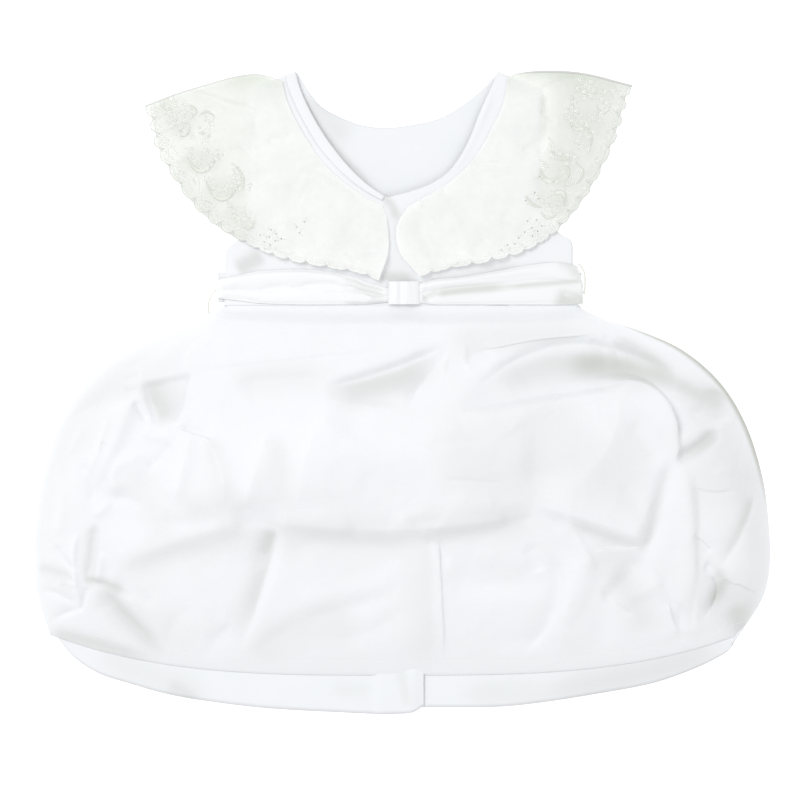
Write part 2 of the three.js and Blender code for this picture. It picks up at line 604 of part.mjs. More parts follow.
buildSkirtFront();
buildSkirtBack();
buildBodice();
buildNeckBinding();
buildCollar('left');
buildCollar('right');
buildCollarBack('left');
buildCollarBack('right');
buildSash();
buildLoops();

export default gown;
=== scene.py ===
"""Christening gown of white cotton, laid flat on its back and seen from straight above.

The tables are in millimetres, as in the part's source, and every mesh is made in metres.
"""

import math

import bpy
import numpy as np
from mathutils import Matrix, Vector, geometry, kdtree, noise


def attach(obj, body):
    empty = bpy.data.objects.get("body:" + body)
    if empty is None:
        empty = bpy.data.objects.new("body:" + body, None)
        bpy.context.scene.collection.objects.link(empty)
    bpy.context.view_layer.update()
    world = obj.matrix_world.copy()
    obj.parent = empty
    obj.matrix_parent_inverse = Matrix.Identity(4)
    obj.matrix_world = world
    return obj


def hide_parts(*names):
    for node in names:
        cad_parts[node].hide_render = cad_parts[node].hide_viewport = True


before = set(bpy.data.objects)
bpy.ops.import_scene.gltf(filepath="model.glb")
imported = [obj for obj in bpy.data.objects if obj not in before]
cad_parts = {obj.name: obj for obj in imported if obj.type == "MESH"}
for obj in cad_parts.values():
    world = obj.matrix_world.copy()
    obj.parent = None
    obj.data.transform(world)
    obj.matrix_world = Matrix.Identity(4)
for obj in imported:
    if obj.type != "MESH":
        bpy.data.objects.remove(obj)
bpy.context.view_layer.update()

bl_info = {
    "name": "Christening gown",
    "version": (1, 0, 0),
    "blender": (4, 5, 0),
    "location": "3D View > Sidebar > Gown",
    "description": "Builds a baby's christening gown with a lace collar, a sash and a full skirt",
    "category": "Mesh",
}

MM = 0.001
SEED = 7

# Layers, from the surface up
SEAM = 0.3
COTTON = 1.2
ORGANZA = 1.0
THIN_CLOTH = 0.7
COTTON_PITCH = 0.42
ORGANZA_PITCH = 0.5
BACK_REST = COTTON + 0.1
FRONT_TOP = BACK_REST + COTTON + SEAM + COTTON
CHEST_PUFF = 3.5
WAIST_Y = 64.0
WAIST_HALF = 131.0
BODICE_FOOT_Y = WAIST_Y + SEAM

# Skirt sections from the waist to the front hem
SKIRT_COLUMNS = ("down", "left", "right", "side_y", "mid_y", "side", "crown", "round")
SKIRT_SECTIONS = (
    (0.0, -132, 131, 64, 64, 5, 4, 6),
    (0.07, -146, 149, 55, 49, 12, 6, 14),
    (0.16, -172, 176, 46, 27, 18, 7, 24),
    (0.25, -201, 207, 32, 0, 22, 8, 30),
    (0.36, -231, 235, 8, -30, 24, 8, 34),
    (0.47, -252, 254, -23, -60, 25, 7, 36),
    (0.58, -264, 266, -60, -92, 24, 6, 36),
    (0.7, -270, 271, -94, -125, 22, 4, 34),
    (0.81, -272, 272, -128, -158, 19, 2, 30),
    (0.91, -269, 266, -153, -186, 11, 0.6, 26),
    (1.0, -260, 249, -179, -209, 1.6, 0, 18),
)
SAG_POWER = 3.2
ROUND_SHARE = 0.1
LEAST_CLEARANCE = 2.6
LEAST_AT_HEM = 1.55
WAIST_SINK = 0.12
# The edge of the hem sinks by this much, from this share of the way down
HEM_SINK = 0.62
SINK_FROM = 0.991
# Least height near the hem, so that the cloth's inner face stays above the surface
HEM_LIFT = 0.82
SKIRT_GRID = (500, 310)
SKIRT_TRIANGLES = 92000

# Places on the skirt and the collar are counted in cells, across from the left and down from the top
CELL = 0.74
CELL_ORIGIN = (402, 393)

# Folds of the skirt's front. A row has three places in cells: from, by way of and to. The rise and the
# reach to each side follow in millimetres: above and below a fold that runs to the right, to the right
# and to the left of one that runs down. The last number is 2 for a soft roll and 1 for a sharp crease.
SKIRT_FOLDS = (
    # the roll across the middle, and its lower lip
    ((132, 517), (375, 458), (659, 477), 15, 36, 40, 2),
    ((112, 568), (188, 533), (282, 516), 5, 26, 9, 1.9),
    ((255, 514), (402, 524), (540, 506), 7.5, 28, 7, 1.9),
    ((528, 500), (600, 521), (648, 540), 9, 28, 6, 1.9),
    # ribs of the roll
    ((196, 428), (188, 466), (180, 506), 4.2, 7, 8, 1.8),
    ((203, 434), (224, 460), (231, 502), 2.8, 6, 3.6, 1.8),
    ((274, 428), (262, 466), (250, 508), 4, 13, 6, 1.8),
    ((344, 404), (312, 450), (304, 512), 4.4, 24, 7, 1.8),
    ((520, 412), (534, 446), (527, 492), -4, 20, 15, 1.8),
    ((612, 392), (606, 440), (564, 490), 4, 15, 16, 1.25),
    ((596, 386), (652, 396), (671, 454), 2.4, 2.2, 7, 1.6),
    ((124, 502), (124, 466), (160, 454), 4, 4, 13, 1.6),
    ((236, 524), (262, 518), (288, 526), -3, 11, 6, 2),
    ((346, 530), (372, 521), (404, 526), -3, 13, 6, 2),
    ((410, 528), (428, 516), (442, 522), -2.4, 12, 6, 2),
    ((498, 520), (514, 514), (534, 514), -2, 7, 5, 2),
    ((184, 427), (202, 434), (220, 438), -3, 5, 2, 1.8),
    ((160, 516), (200, 520), (224, 510), -2.4, 9, 7, 2),
    ((425, 445), (455, 441), (500, 436), -1, 5, 5, 2),
    ((440, 456), (480, 452), (498, 470), -1, 8, 6, 2),
    ((440, 477), (470, 478), (505, 482), -0.8, 1.6, 2.4, 1.4),
    # between the waist and the roll, on the left
    ((188, 368), (290, 357), (404, 345), 1.1, 24, 2, 1.6),
    ((150, 380), (156, 402), (166, 430), -5, 22, 4, 1.8),
    ((193, 370), (190, 398), (178, 428), -3.4, 2.4, 11, 1.7),
    ((214, 334), (192, 348), (188, 368), -1.4, 3, 8, 1.8),
    ((236, 386), (282, 381), (336, 380), -3.4, 6, 10, 2),
    ((62, 420), (102, 404), (152, 394), -4, 13, 6, 1.8),
    ((128, 381), (137, 377), (146, 377), -1.2, 2, 3, 1.6),
    ((128, 392), (135, 391), (142, 393), -1.6, 2, 2.4, 1.6),
    ((136, 393), (126, 430), (94, 496), 3.4, 6, 9, 1.8),
    ((139, 400), (146, 411), (154, 424), -3, 2.6, 3, 1.7),
    ((92, 422), (82, 438), (73, 456), 2, 4, 3.4, 1.6),
    ((114, 412), (106, 446), (88, 484), 1.5, 2.6, 3, 1.4),
    ((108, 440), (110, 446), (109, 452), -1.4, 1.6, 2, 1.6),
    ((100, 404), (92, 414), (78, 424), 1.4, 3, 3, 1.5),
    ((118, 496), (108, 508), (96, 514), 1.4, 3, 4, 1.6),
    # between the waist and the roll, in the middle and on the right
    ((324, 388), (384, 373), (448, 346), -6.5, 4.2, 18, 1.8),
    ((318, 392), (362, 398), (412, 404), -2, 8, 4, 2),
    ((452, 342), (430, 373), (404, 408), -4, 3, 12, 1.9),
    ((462, 360), (478, 356), (490, 344), -3, 6, 5, 1.8),
    ((446, 368), (457, 370), (468, 366), -1.6, 5, 5, 2),
    ((450, 412), (545, 395), (640, 382), -8, 14, 3.2, 1.8),
    ((470, 396), (566, 346), (680, 382), -6.5, 4.6, 20, 1.8),
    ((560, 386), (648, 382), (680, 470), -7, 17, 3.4, 1.8),
    ((468, 352), (536, 337), (600, 333), 2.4, 9, 2, 1.5),
    ((598, 335), (612, 345), (617, 362), -2, 2.6, 3, 1.5),
    ((588, 338), (596, 347), (606, 354), -1, 1.8, 2, 1.4),
    ((500, 364), (520, 355), (548, 346), 0.9, 2.4, 3, 1.4),
    ((630, 345), (676, 362), (722, 396), 3.4, 7, 8, 1.5),
    ((668, 388), (700, 390), (722, 398), -2.4, 5, 6, 2),
    ((698, 391), (722, 393), (740, 428), -2.6, 4, 4, 1.9),
    ((683, 405), (704, 420), (734, 412), -2.6, 4, 4, 1.9),
    ((736, 416), (724, 420), (710, 432), 2.4, 4, 3, 1.5),
    ((670, 455), (688, 450), (718, 424), -5, 5, 5, 1.8),
    # right side
    ((668, 454), (652, 508), (638, 560), -3.4, 8, 6, 1.9),
    ((674, 455), (687, 530), (681, 620), 2.4, 4, 8.5, 1.9),
    ((679, 596), (679, 622), (686, 648), -2.6, 3, 4, 1.9),
    ((733, 416), (748, 462), (770, 520), -5, 2.4, 5, 1.5),
    ((752, 484), (738, 520), (713, 567), -2.6, 4.4, 9, 1.9),
    ((698, 562), (710, 567), (724, 574), -3, 4, 4, 2),
    ((712, 562), (738, 586), (768, 604), 4, 12, 5, 1.5),
    ((700, 566), (713, 590), (699, 617), -3.6, 2.4, 6, 1.8),
    ((690, 540), (692, 600), (694, 640), 2, 4, 4, 1.8),
    ((686, 532), (698, 540), (708, 552), -2, 2, 4, 1.6),
    ((686, 485), (708, 491), (732, 487), -1.2, 1.6, 3, 1.4),
    ((706, 475), (718, 470), (730, 474), 0.8, 2.4, 2.4, 1.6),
    ((726, 616), (733, 629), (741, 644), -2.6, 2, 2.4, 1.6),
    ((682, 648), (715, 645), (746, 636), 2.4, 8, 3, 1.8),
    ((664, 598), (668, 618), (680, 634), 1.8, 1.6, 5, 1.5),
    # left side
    ((102, 520), (98, 548), (91, 585), -4, 3, 4, 1.7),
    ((84, 528), (79, 562), (86, 610), 2.4, 2.4, 2.6, 1.6),
    ((108, 548), (104, 566), (100, 583), 2.4, 4, 3, 1.8),
    ((88, 580), (112, 582), (138, 598), -2.6, 4, 4, 2),
    ((102, 584), (130, 618), (168, 656), -5, 6, 10, 2),
    ((116, 578), (138, 588), (160, 608), -2, 6, 6, 2),
    ((34, 592), (62, 592), (86, 610), -2.6, 4, 4, 1.8),
    ((47, 632), (60, 616), (88, 606), -3, 3, 2.6, 1.7),
    ((52, 632), (84, 636), (140, 654), -3, 4, 4, 2),
    ((38, 566), (58, 570), (82, 579), -2.4, 5, 4, 1.9),
    ((60, 582), (70, 580), (82, 584), 1.8, 1.6, 2.4, 1.6),
    ((92, 582), (88, 596), (82, 612), -2, 2, 2, 1.5),
    # the flat pleat below the roll
    ((281, 520), (268, 575), (236, 656), -3.4, 4.4, 10, 1.9),
    ((274, 524), (266, 545), (256, 572), -1.6, 5, 8, 2),
    ((256, 654), (312, 616), (404, 590), -3, 8, 9, 2),
    ((292, 594), (352, 592), (412, 556), 1.6, 8, 8, 2),
    ((434, 520), (437, 590), (443, 684), 1.7, 2.4, 12, 1.8),
    ((408, 520), (410, 590), (412, 680), 2, 24, 22, 2),
    ((421, 536), (437, 545), (449, 566), -1.2, 4, 4, 2),
    # right of the pleat
    ((436, 578), (494, 580), (552, 578), -3, 16, 10, 2),
    ((540, 545), (556, 596), (514, 662), -2.8, 3.4, 9, 1.9),
    ((524, 540), (534, 556), (540, 570), -1.6, 5, 6, 2),
    ((558, 512), (577, 540), (594, 570), 3, 3.4, 9, 1.6),
    ((584, 548), (570, 600), (556, 658), 3, 12, 9, 2),
    ((594, 580), (600, 625), (600, 668), -2.4, 10, 11, 2),
    ((588, 550), (614, 551), (642, 546), 2, 2.6, 5, 1.6),
    ((642, 554), (620, 578), (600, 600), -4, 9, 8, 1.9),
    ((598, 587), (614, 603), (634, 613), -2, 2.4, 3, 1.5),
    ((620, 590), (640, 590), (664, 570), 1.8, 6, 5, 1.8),
    ((280, 538), (380, 548), (470, 536), -1.6, 8, 12, 2),
    ((664, 398), (682, 398), (702, 412), 1.6, 3, 3, 1.5),
    ((700, 420), (716, 438), (690, 450), 2, 6, 6, 1.6),
    ((742, 440), (735, 470), (756, 486), -1.6, 3, 5, 1.6),
    ((726, 500), (744, 540), (756, 590), 1.8, 9, 8, 1.8),
    ((716, 574), (742, 586), (764, 600), -2.6, 2.6, 8, 1.6),
    ((652, 566), (666, 590), (672, 612), -1.6, 4, 5, 1.7),
    ((604, 560), (586, 596), (562, 640), -1.6, 6, 8, 1.8),
    ((470, 552), (500, 556), (536, 560), 1, 8, 8, 2),
    ((486, 650), (520, 640), (560, 648), -1.2, 8, 6, 2),
    ((650, 640), (690, 628), (730, 620), 1.6, 6, 5, 1.7),
    ((300, 556), (340, 552), (392, 560), 1.4, 9, 10, 2),
    ((330, 640), (372, 628), (406, 600), -1.4, 6, 8, 1.9),
    ((176, 560), (200, 590), (206, 640), 1.6, 12, 10, 2),
    ((236, 620), (216, 640), (206, 664), -2.4, 8, 5, 1.8),
    ((224, 656), (244, 660), (262, 670), 1.4, 3, 3, 1.6),
    ((196, 600), (176, 624), (172, 656), -1.4, 7, 6, 1.9),
    ((84, 460), (98, 480), (94, 508), -2, 4, 4, 1.7),
    ((62, 470), (66, 500), (62, 540), 1.6, 5, 5, 1.8),
    ((146, 428), (160, 436), (186, 434), 1.6, 4, 4, 1.7),
    ((150, 470), (166, 456), (176, 440), -2, 3, 4, 1.7),
    ((60, 540), (68, 556), (84, 570), -2, 3, 3, 1.6),
    ((110, 500), (130, 496), (150, 508), -1.6, 5, 5, 1.8),
    ((224, 344), (252, 334), (300, 334), 1, 8, 7, 2),
    ((330, 330), (366, 326), (412, 332), -0.9, 7, 7, 2),
    ((424, 330), (470, 322), (540, 322), 1, 6, 6, 2),
    ((414, 420), (440, 428), (462, 424), 1.2, 6, 6, 2),
    ((356, 420), (396, 414), (432, 424), 1.4, 8, 8, 2),
    ((352, 470), (392, 486), (420, 512), -1.8, 14, 12, 2),
    ((448, 488), (474, 500), (496, 496), 1.4, 8, 7, 2),
    ((546, 410), (518, 444), (524, 486), 1.4, 8, 8, 1.9),
    ((574, 412), (566, 440), (552, 470), 1, 10, 10, 2),
    ((620, 424), (640, 440), (652, 470), -1.6, 7, 7, 1.9),
    ((612, 480), (630, 500), (640, 526), -1.4, 6, 6, 1.9),
)

# Painted shade on the skirt's front: its colour darkens where folds are deep and little light comes in, in
# the same columns
SKIRT_PAINTED_SHADE = (
    ((326, 392), (386, 378), (446, 352), 0.27, 3, 15, 2.4),
    ((336, 390), (384, 384), (430, 370), 0.13, 9, 11, 2.6),
    ((480, 396), (566, 362), (676, 390), 0.32, 7, 14, 2.6),
    ((556, 372), (614, 362), (672, 386), 0.32, 8, 11, 2.2),
    ((426, 520), (428, 596), (432, 676), 0.12, 1.6, 14, 1.8),
    ((390, 522), (460, 516), (540, 506), 0.12, 8, 8, 3),
    ((580, 540), (612, 566), (646, 606), 0.12, 13, 12, 2.4),
    ((690, 584), (728, 606), (758, 618), 0.18, 15, 16, 3),
    ((210, 430), (222, 468), (226, 510), 0.1, 8, 8, 2),
    ((272, 430), (286, 470), (288, 516), 0.09, 8, 8, 2),
    ((146, 462), (156, 500), (176, 540), 0.08, 12, 11, 2),
    ((20, 620), (50, 440), (206, 326), 0.19, 22, 26, 2.4),
    ((426, 474), (510, 452), (600, 426), 0.15, 34, 30, 2.6),
    ((436, 346), (510, 338), (600, 334), 0.13, 10, 10, 2.4),
    ((672, 396), (706, 440), (716, 530), 0.14, 24, 20, 2.4),
    ((738, 430), (746, 530), (738, 620), 0.14, 14, 14, 2.4),
    ((600, 420), (610, 470), (604, 520), 0.08, 24, 24, 2.4),
    ((104, 600), (150, 622), (206, 644), 0.07, 14, 14, 2.4),
    ((152, 380), (160, 402), (170, 430), 0.28, 18, 3, 2.2),
    ((150, 386), (160, 402), (172, 422), 0.12, 8, 4, 2),
    ((232, 384), (282, 376), (346, 380), 0.1, 9, 13, 2),
    ((262, 520), (340, 530), (430, 532), 0.16, 10, 15, 2),
    ((410, 532), (470, 526), (540, 510), 0.14, 5, 9, 2),
    ((278, 522), (270, 560), (244, 640), 0.26, 1.6, 10, 2.2),
    ((277, 524), (272, 540), (266, 556), 0.2, 2, 7, 2),
    ((112, 566), (188, 542), (262, 514), 0.14, 5, 13, 2),
    ((180, 502), (220, 504), (262, 500), 0.14, 9, 8, 2),
    ((560, 518), (600, 533), (644, 547), 0.2, 4, 5, 2),
    ((664, 458), (652, 510), (638, 556), 0.12, 3, 5, 2),
    ((750, 490), (738, 524), (714, 566), 0.3, 1.4, 5, 2),
    ((688, 470), (692, 540), (684, 646), 0.16, 1.6, 6, 2),
    ((668, 452), (692, 446), (716, 426), 0.36, 6, 5, 2),
    ((640, 366), (690, 392), (728, 404), 0.36, 6, 8, 2),
    ((696, 392), (724, 396), (738, 420), 0.3, 3, 3, 2),
    ((606, 340), (640, 352), (676, 382), 0.3, 4, 5, 2),
    ((98, 520), (96, 552), (90, 590), 0.18, 4, 5, 2),
    ((104, 580), (132, 616), (170, 660), 0.3, 6, 9, 2),
    ((46, 632), (90, 640), (160, 662), 0.36, 5, 6, 2),
    ((86, 578), (108, 580), (134, 594), 0.35, 3, 4, 2),
    ((38, 566), (58, 570), (82, 579), 0.22, 4, 5, 2),
    ((704, 566), (720, 580), (700, 612), 0.4, 5, 7, 2),
    ((730, 600), (738, 620), (742, 640), 0.3, 8, 8, 2),
    ((240, 660), (300, 628), (370, 612), 0.16, 10, 12, 2),
    ((606, 560), (628, 600), (650, 632), 0.14, 10, 10, 2),
)
# Painted shade: the colour that cotton and satin darken to in folds and under other parts
PAINTED_SHADE_COLOUR = (0.5, 0.51, 0.465, 1)
LACE_AND_SHADE_COLOUR = (0.55, 0.615, 0.5, 1)
HEM_STITCHES = 0.956
FOLD_STEPS = 14
FOLD_FADE = 0.25
TUCK = 1.7
TUCK_BELOW = 3.2

# Skirt back
OVERLAP_X = 16.0
OVERLAP = 20.0
OVERLAP_RISE = 12.0
# The edge that lies on top curls up here, near the hem
CURL_X = 8.0
CURL_WIDTH = 6.0
CURL_RISE = 2.6
BACK_INSET = 2.6
BACK_LIFT = 0.74
BACK_WAVE = 0.4
BACK_HEM_LEFT = ((-257, -178), (-242, -196), (-223, -208), (-201, -215), (-172, -223), (-112, -232),
                 (-50, -236), (-9, -237.3), (8, -235.5), (OVERLAP_X, -231))
BACK_HEM_RIGHT = ((246, -180), (243, -189), (229, -198), (206, -208), (184, -215), (147, -222),
                  (102, -229), (73, -232), (OVERLAP_X - OVERLAP, -232.5))

# Bodice
ARMHOLE_LEFT = ((-107, 226), (-110, 198), (-109, 180), (-108, 150), (-110, 126), (-121, 113),
                (-129, 106), (-130, 96), (-131, 80), (-WAIST_HALF, BODICE_FOOT_Y))
ARMHOLE_RIGHT = ((104, 223), (103, 198), (102, 180), (104, 150), (110, 126), (116, 118),
                 (125, 112), (126, 97), (128, 82), (WAIST_HALF - 1, BODICE_FOOT_Y))
NECK_LEFT = (-78, 237)
NECK_RIGHT = (71, 237)
FRONT_NECK_LEFT = (NECK_LEFT, (-75, 225), (-67, 207), (-55, 187), (-41, 169), (-27, 155), (-11, 144))
FRONT_NECK_RIGHT = ((-11, 144), (8, 149), (21, 154), (33, 162), (42, 173), (50, 188), (57, 206), NECK_RIGHT)
BACK_NECK = (NECK_LEFT, (-61, 213), (-46, 204), (-30, 198), (-13, 196), (7, 198), (28, 203), (44, 212),
             (58, 223), NECK_RIGHT)
BINDING_LIFT = 0.8
BINDING_ROLL = 0.5
BINDING_COLUMNS = ("t", "x", "y", "width")
BINDING = (
    (0, -78.6, 236.6, 8.2),
    (1, -75.4, 225, 8),
    (2, -67.4, 207, 8),
    (3, -55.4, 187, 8.2),
    (4, -41.4, 169, 7.2),
    (5, -27.4, 155, 5.4),
    (6, -13, 144.4, 3.4),
)

# Creases of the skirt's back, in the columns of the front's folds
BACK_FOLDS = (
    ((150, 676), (176, 688), (192, 704), 0.7, 4, 3, 1.8),
    ((226, 694), (262, 700), (300, 696), 0.5, 4, 4, 1.8),
    ((352, 690), (372, 698), (400, 694), 0.6, 3, 5, 1.8),
    ((500, 690), (560, 690), (620, 676), 0.6, 3, 5, 1.8),
    ((600, 700), (650, 684), (700, 664), 0.5, 4, 4, 1.8),
    ((80, 430), (150, 470), (190, 560), 0.9, 12, 10, 1.9),
    ((220, 380), (262, 450), (250, 560), 1, 9, 12, 1.9),
    ((330, 360), (316, 440), (352, 560), 0.9, 10, 8, 1.9),
    ((120, 540), (170, 520), (230, 540), 0.7, 8, 9, 1.9),
    ((470, 360), (446, 450), (480, 560), 0.9, 9, 12, 1.9),
    ((556, 380), (604, 450), (586, 570), 1, 12, 8, 1.9),
    ((684, 420), (656, 500), (692, 580), 0.8, 8, 12, 1.9),
    ((500, 430), (540, 446), (600, 430), 0.6, 8, 8, 1.9),
)

# Painted shade on the skirt's back, below the front hem
BACK_PAINTED_SHADE = (
    ((540, 690), (640, 674), (736, 640), 0.27, 12, 12, 2.4),
    ((450, 692), (520, 692), (590, 688), 0.12, 10, 10, 2.4),
    ((90, 646), (150, 676), (220, 696), 0.12, 12, 12, 2.4),
    ((166, 680), (184, 692), (202, 700), 0.2, 5, 7, 2),
    ((398, 664), (404, 688), (408, 712), 0.16, 5, 4, 2),
    ((330, 682), (350, 690), (376, 686), 0.1, 6, 6, 2),
)

# Folds of the bodice, and painted shade on it and inside the neck, in the columns of the skirt's folds
BODICE_FOLDS = (
    ((491, 84), (476, 128), (446, 180), 1.1, 3.4, 3, 1.9),
    ((484, 108), (466, 150), (440, 182), -0.5, 1.4, 1.6, 1.8),
    ((278, 92), (302, 140), (366, 192), 0.7, 3, 3, 1.9),
    ((388, 200), (410, 191), (428, 184), 0.7, 2, 3, 1.8),
    ((392, 206), (402, 214), (414, 230), 0.6, 4, 4, 2),
    ((236, 252), (250, 246), (262, 254), -0.6, 4, 5, 2),
    ((540, 238), (556, 244), (564, 258), -0.6, 3, 4, 2),
)
BODICE_PAINTED_SHADE = (
    ((234, 272), (250, 263), (266, 254), 0.42, 7, 7, 2.6),
    ((376, 280), (392, 278), (420, 281), 0.4, 5, 3, 2.4),
    ((420, 280), (470, 275), (532, 262), 0.24, 3, 2, 2),
    ((380, 200), (392, 206), (398, 226), 0.4, 3, 4, 2),
    ((396, 206), (402, 240), (408, 284), 0.07, 14, 14, 2),
)
NECK_PAINTED_SHADE = (
    ((299, 86), (330, 140), (388, 200), 0.34, 2, 6, 2),
    ((304, 92), (326, 118), (350, 150), 0.2, 12, 6, 2),
    ((452, 176), (474, 140), (492, 84), 0.12, 7, 3, 2),
)

# Collar
COLLARS = {
    "left": {
        "neck": ((-88, 230), (-85, 217), (-79, 203), (-70, 187), (-59, 171), (-46, 158), (-31, 147),
                 (-14, 138)),
        "edge": ((-190, 212), (-186, 196), (-182, 180), (-169, 158), (-154, 137), (-137, 122), (-116, 110),
                 (-88, 98), (-59, 92), (-35, 88), (-17, 82)),
        "fold": ((-88, 230), (-108, 235), (-157, 224), (-190, 212)),
        "front": ((-14, 138), (-10.5, 124), (-10, 104), (-17, 82)),
        "armhole": 108.0,
    },
    "right": {
        "neck": ((78, 233), (74, 212), (66, 195), (58, 180), (47, 166), (36, 156), (22, 147), (4, 137)),
        "edge": ((170, 227), (165, 210), (161, 195), (151, 171), (140, 150), (127, 132), (111, 116),
                 (89, 103), (61, 95), (36, 91), (13, 85)),
        "fold": ((78, 233), (88, 236), (131, 236.2), (170, 227)),
        "front": ((4, 137), (-4, 122), (-2, 104), (13, 85)),
        "armhole": 103.0,
    },
}
HOLE_REACH = 8.0
COLLAR_CLOTH = 0.55
COLLAR_EASE = 0.7
SCALLOPS = 18
SCALLOP_DEPTH = 4.8
SCALLOP_ON_BODICE = 0.4
SCALLOP_DRIFT = 0.3
SMALL_SCALLOPS = 2
SMALL_DEPTH = 0.6
# Radius of the dark cord along each half's fold, a painted shade line of the fold, wider on the right
FOLD_SHADE_CORD = {"left": 0.16, "right": 0.8}
COLLAR_LIFT = 0.3
COLLAR_WAVES = 7
COLLAR_WAVE_RISE = 2.2
COLLAR_GRID = (320, 88)
GATHERS = 30
GATHER_RISE = 0.12
# The collar behind the shoulders is this much smaller, a little higher up, and this share as long
BACK_COLLAR = {"size": 0.985, "up": 1.8, "share": 0.72, "height": 0.6}
SASH_TOP_Y = 97.0

# Soft folds of each half of the collar, in the columns and cells of the skirt's folds
COLLAR_FOLDS = {
    "left": (
        ((186, 89), (226, 103), (260, 113), -2.2, 2, 4, 1.5),
        ((206, 112), (216, 109), (240, 112), -0.8, 2, 2.5, 1.6),
        ((252, 104), (254, 130), (252, 160), -1.2, 3, 2, 1.7),
        ((228, 148), (242, 152), (256, 160), -1, 2, 2.4, 1.6),
        ((264, 143), (280, 140), (296, 134), -1.6, 3.5, 5, 1.8),
        ((258, 198), (290, 178), (318, 186), 2.2, 6, 12, 2),
        ((296, 174), (320, 170), (346, 174), -1.6, 2.6, 4, 1.7),
        ((318, 158), (342, 182), (380, 200), -2.4, 5, 4, 1.8),
        ((352, 190), (372, 206), (398, 220), -1.6, 6, 6, 2),
        ((388, 218), (391, 232), (390, 246), -1.4, 1.4, 2, 1.5),
        ((310, 205), (330, 230), (330, 262), 1.4, 9, 7, 2),
        ((346, 215), (362, 240), (366, 268), -1.6, 9, 9, 2),
        ((288, 212), (286, 232), (292, 250), 1.3, 5, 5, 2),
        ((276, 262), (312, 263), (350, 274), -1.6, 3.5, 4, 1.8),
        ((342, 273), (350, 270), (360, 273), -1, 1.6, 2, 1.6),
        ((344, 256), (352, 258), (358, 272), -0.8, 1.6, 2, 1.6),
    ),
    "right": (
        ((502, 76), (526, 88), (546, 93), -2.4, 2, 4, 1.5),
        ((540, 92), (558, 83), (582, 79), -1.8, 2.4, 3, 1.6),
        ((543, 88), (545, 104), (541, 122), -1.6, 2.4, 3, 1.6),
        ((538, 112), (548, 118), (553, 128), -1, 1.4, 2, 1.5),
        ((540, 118), (545, 140), (534, 156), -2, 1.2, 5, 1.6),
        ((520, 154), (532, 147), (544, 140), -1.4, 3, 4, 1.8),
        ((462, 168), (474, 160), (484, 168), -1.2, 4, 5, 1.8),
        ((472, 162), (488, 164), (508, 165), -1, 1.6, 2.2, 1.6),
        ((474, 170), (492, 170), (512, 173), 0.7, 1.8, 2.2, 1.6),
        ((428, 178), (430, 186), (431, 194), -1.8, 1.2, 1.6, 1.6),
        ((438, 186), (442, 191), (448, 198), -1, 2, 3, 1.7),
        ((410, 186), (419, 198), (418, 212), 1.6, 3, 3, 1.7),
        ((396, 200), (402, 206), (412, 208), 1.2, 3, 2, 1.6),
        ((416, 212), (434, 250), (440, 280), -2.6, 9, 8, 1.9),
        ((428, 236), (429, 246), (431, 256), -1, 1.2, 1.8, 1.5),
        ((500, 212), (512, 224), (532, 232), -1.6, 5, 4, 1.8),
        ((490, 236), (478, 248), (474, 260), -1.3, 5, 5, 1.9),
        ((446, 214), (462, 236), (462, 262), 1.4, 8, 8, 2),
        ((424, 274), (452, 272), (482, 266), -1.8, 4, 3, 1.8),
    ),
}

# Darker places of the collar, in the same columns: denser lace round the embroidery, and painted shade along
# the fold and where the collar lies in shade
COLLAR_LACE_AND_SHADE = {
    "left": (
        ((118, 120), (204, 81), (306, 84), 0.4, 4, 8, 2),
        ((218, 92), (262, 84), (300, 96), 0.12, 8, 10, 2),
        ((138, 106), (156, 160), (190, 190), 0.32, 6, 8, 2),
        ((170, 174), (208, 214), (256, 248), 0.3, 7, 6, 2),
        ((154, 100), (176, 116), (200, 126), 0.26, 10, 11, 3),
        ((180, 152), (202, 162), (226, 154), 0.28, 9, 9, 3),
        ((200, 186), (224, 190), (248, 184), 0.3, 10, 9, 3),
        ((222, 208), (238, 216), (256, 224), 0.26, 8, 8, 3),
        ((256, 226), (270, 240), (288, 240), 0.1, 9, 9, 3),
    ),
    "right": (
        ((490, 76), (580, 73), (656, 94), 0.6, 3, 5, 2),
        ((484, 84), (530, 82), (596, 82), 0.18, 8, 9, 2),
        ((564, 88), (590, 92), (626, 94), 0.26, 9, 9, 3),
        ((558, 112), (584, 122), (608, 116), 0.22, 10, 10, 3),
        ((572, 132), (584, 144), (596, 152), 0.14, 9, 9, 3),
        ((538, 150), (560, 160), (580, 160), 0.18, 8, 8, 3),
        ((530, 172), (552, 178), (578, 176), 0.26, 9, 9, 3),
        ((530, 196), (550, 202), (572, 206), 0.26, 9, 8, 3),
        ((514, 228), (530, 232), (548, 232), 0.12, 8, 8, 3),
        ((540, 92), (544, 116), (541, 146), 0.3, 3, 3, 2),
        ((628, 86), (610, 150), (560, 232), 0.24, 8, 8, 2),
    ),
}

